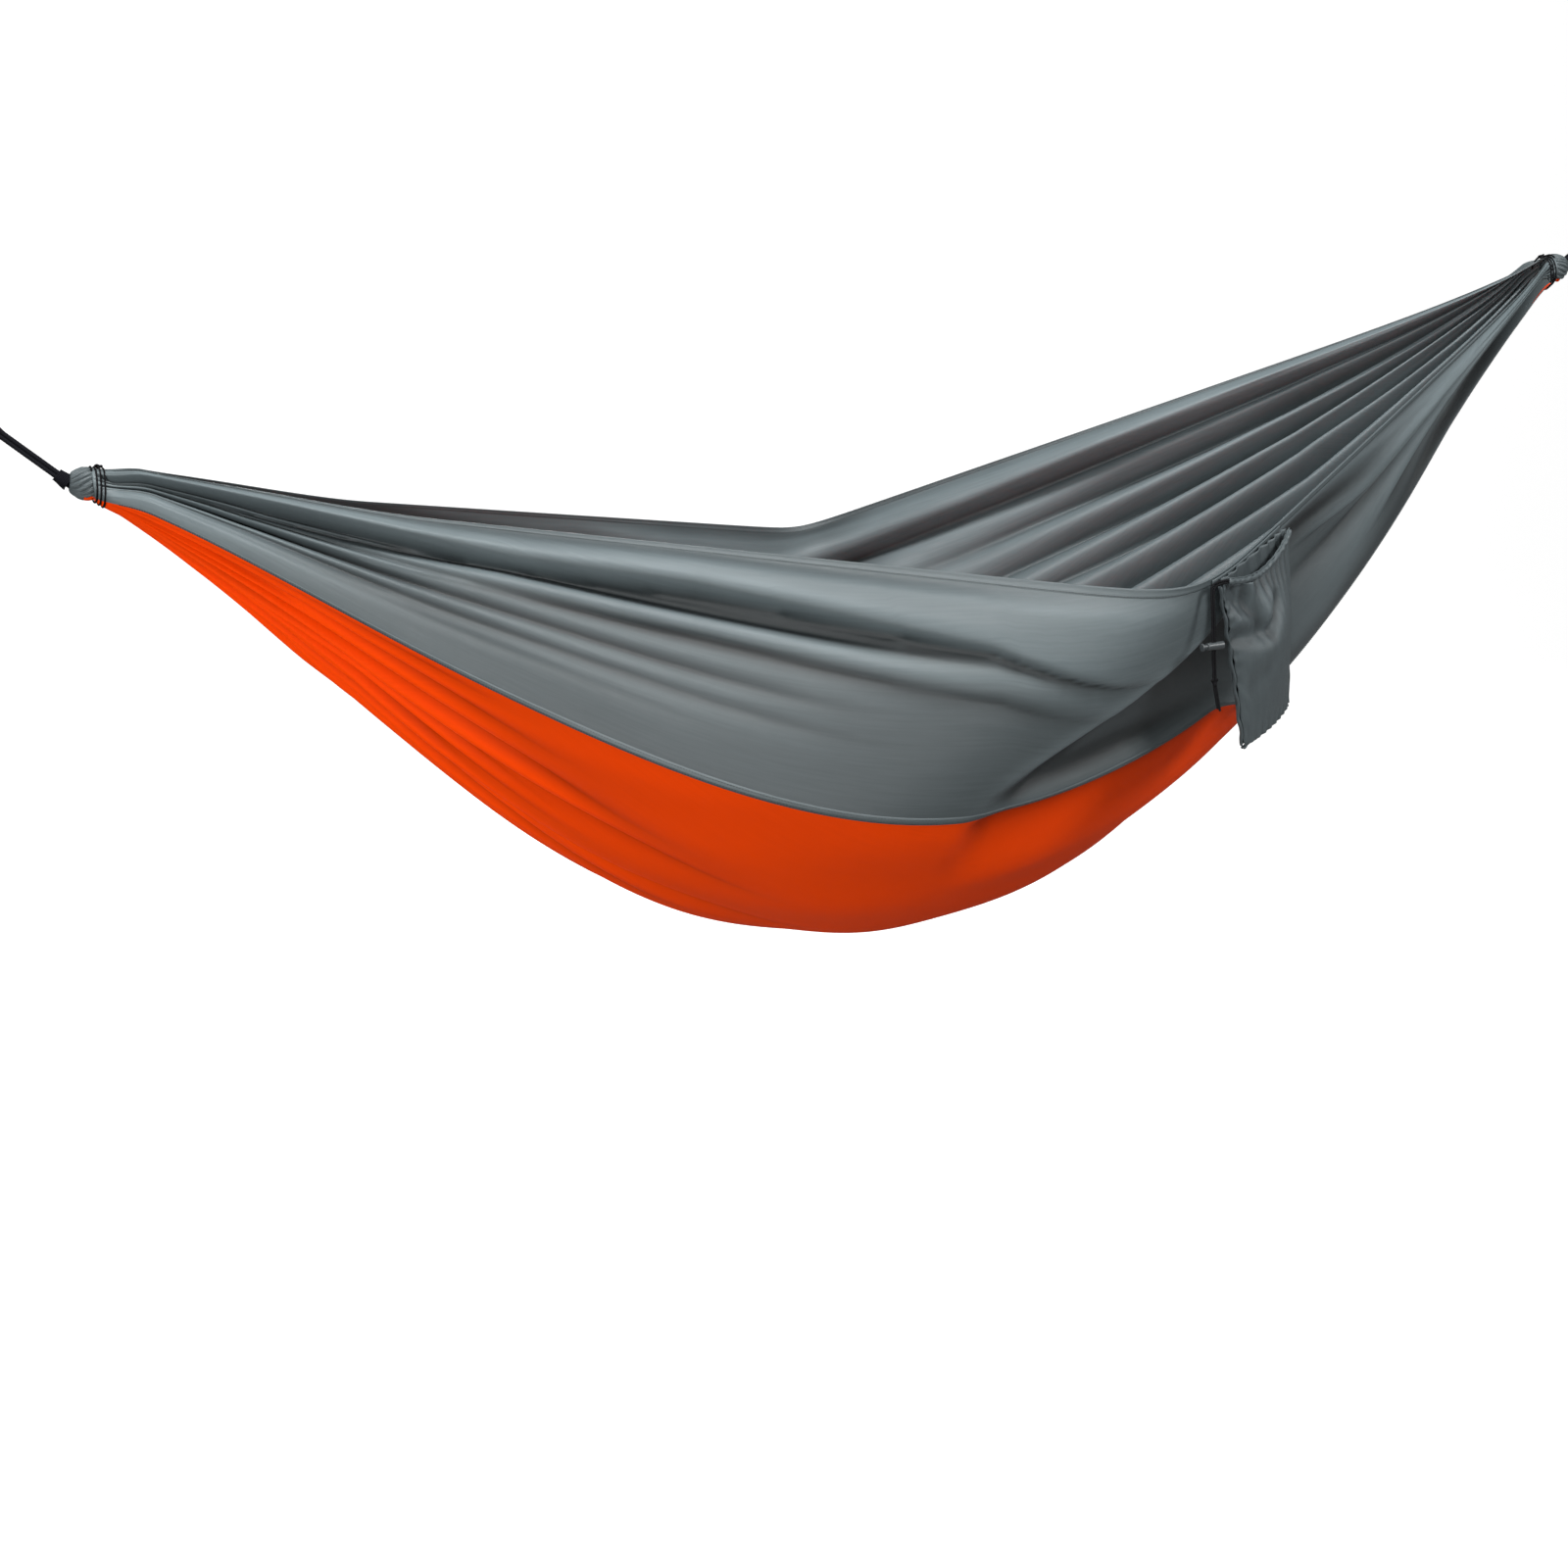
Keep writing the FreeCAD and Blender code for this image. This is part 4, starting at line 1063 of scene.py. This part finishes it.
def binding(name, points, tape=0.0032, thick=0.0011, pucker=0.0008, phase=0.0):
    """Tape folded over the two panels' edges, pulled into puckers by its stitches."""
    path = np.asarray(points)
    count = len(path)

    def flat(i, around):
        wave = math.sin(i * 0.62 + phase) * 0.6 + math.sin(i * 0.27 + 2 * phase) * 0.4
        shape = np.sqrt((np.cos(around) * tape) ** 2 + (np.sin(around) * thick) ** 2)
        return shape - 0.002 + pucker * 0.5 * wave * (1 + np.cos(2 * around)) / 2

    sway = np.sin(np.arange(count) * 0.33 + phase)[:, None] * pucker
    path = path + SACK_OUT * sway
    obj = tube_piece(name + "_tape", path, 0.002, SACK_GREY, "stuff_sack", "grey_taffeta", 20, relief=flat)
    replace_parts(obj, name)


def stuff_sack():
    sack_front()
    sack_back()
    sack_mouth()
    channel_cord()
    v = np.linspace(0.02, 0.985, 110)
    stand = 0.0015 + 0.002 * np.sin(math.pi * v)
    binding("sack_left_binding", sack_point(0.0, v, stand), phase=0.4, pucker=0.0013)
    binding("sack_right_binding", sack_point(1.0, v, stand), phase=2.1, pucker=0.0005)
    u = np.linspace(0.0, 1.0, 90)
    low_edge = sack_point(u, 1.0, 0.0015 + 0.25 * belly(u, 1.0))
    binding("sack_bottom_binding", low_edge, phase=1.3, pucker=0.0010)
    s = np.linspace(SACK_FROM + 0.0005, SACK_TO - 0.0005, 60)[:, None]
    angles = NEAR_EDGE - 2 * half_angle(1) * np.linspace(0.003, 0.017, 8)[None, :]
    points, normal = folded(s, angles)
    tape = cloth_piece("sack_sewn_tape", points + normal * 0.0026, GREY, "bed", 0.0012)
    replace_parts(tape, "sack_hem_tape")


# ---- Drawcord ------------------------------------------------------------------------------------

CORD_LINE = SACK_LEFT + np.array((-0.007, -0.018, 0.0))


def strand_route(sign):
    """The model's own points: out of the channel, down through the lock and the knot, to the end."""
    exit_point = mouth_line(-sign * STRAND_APART / 2)[0]
    top = exit_point[2]
    x, y = CORD_LINE[:2]
    half = STRAND_APART / 2
    return [
        exit_point,
        (x + 0.0030 + sign * half, y + 0.0040, top + 0.0015),
        (x - 0.0006 + sign * half, y + 0.0006, top - 0.0140),
        (x + sign * half, y, top - 0.0340),
        (x + sign * half, y - 0.0002, top - KNOT_DROP),
        (x + 0.0020 + sign * half, y - 0.0006, top - KNOT_DROP - 0.0160),
        (x + 0.0065 + sign * half, y + 0.0005, top - TAIL_DROP),
    ]


def lock_spring():
    """The coil behind the lock's button, copied from the model in plated steel at one length; on the real lock
    it shortens as the button goes in.
    """
    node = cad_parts["cord_lock_spring"]
    obj = bpy.data.objects.new("cord_lock_coil", node.data.copy())
    bpy.context.scene.collection.objects.link(obj)
    obj.data.transform(node.matrix_world)
    obj.data.materials.clear()
    obj.data.materials.append(STEEL)
    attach(obj, "cord_lock")
    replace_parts(obj, "cord_lock_spring")
    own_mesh(obj)
    return obj


def drawcord():
    for sign, node, length in ((-1, "drawcord_strand_a", 0.186), (1, "drawcord_strand_b", 0.183)):
        route = strand_route(sign)
        curve = bpy.data.curves.new(node + "_line", "CURVE")
        curve.dimensions = "3D"
        spline = curve.splines.new("NURBS")
        spline.points.add(len(route) - 1)
        for point, place in zip(spline.points, route):
            point.co = (*place, 1)
        spline.order_u = 3
        spline.use_endpoint_u = True
        spline.resolution_u = 16
        curve.bevel_depth = DRAWCORD / 2 + 0.0002
        curve.bevel_resolution = 5
        curve.use_fill_caps = True
        curve.materials.append(CORD)
        obj = bpy.data.objects.new(node + "_cord", curve)
        bpy.context.scene.collection.objects.link(obj)
        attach(obj, "stuff_sack")
        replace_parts(obj, node)


def drawcord_knot():
    """An overhand knot tied in both strands together."""
    x, y = CORD_LINE[:2]
    centre = np.array((x, y - 0.0002, mouth_line()[0][2] - KNOT_DROP))
    k = np.linspace(0, 2 * math.pi, 140, endpoint=False)
    wide = 0.0017
    sideways = np.sin(k) + 1.25 * np.sin(2 * k)
    upwards = np.cos(k) - 1.35 * np.cos(2 * k)
    path = centre + wide * np.stack((sideways, 0.7 * np.cos(3 * k), upwards), axis=1)

    def braid(i, around):
        return 0.0001 * np.sin(4 * around + 0.7 * i) * np.sin(4 * around - 0.7 * i)

    strand = DRAWCORD / 2 + 0.0003
    style = {"ring": 14, "closed": True, "relief": braid}
    obj = tube_piece("drawcord_tied_knot", path, strand, CORD, "stuff_sack", "black_cord", **style)
    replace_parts(obj, "drawcord_knot")
    return obj


# ---- Finish --------------------------------------------------------------------------------------

camera()
KNOT = drawcord_knot()
COIL = lock_spring()
drawcord()
lights()
backdrop()
pouch()
gathered_ends()
stuff_sack()
for node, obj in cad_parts.items():
    if node.startswith("cord_lock") and node != "cord_lock_spring":
        material = PLASTIC
    elif node.startswith("drawcord"):
        material = CORD
    else:
        material = STEEL
    obj.data.materials.clear()
    obj.data.materials.append(material)
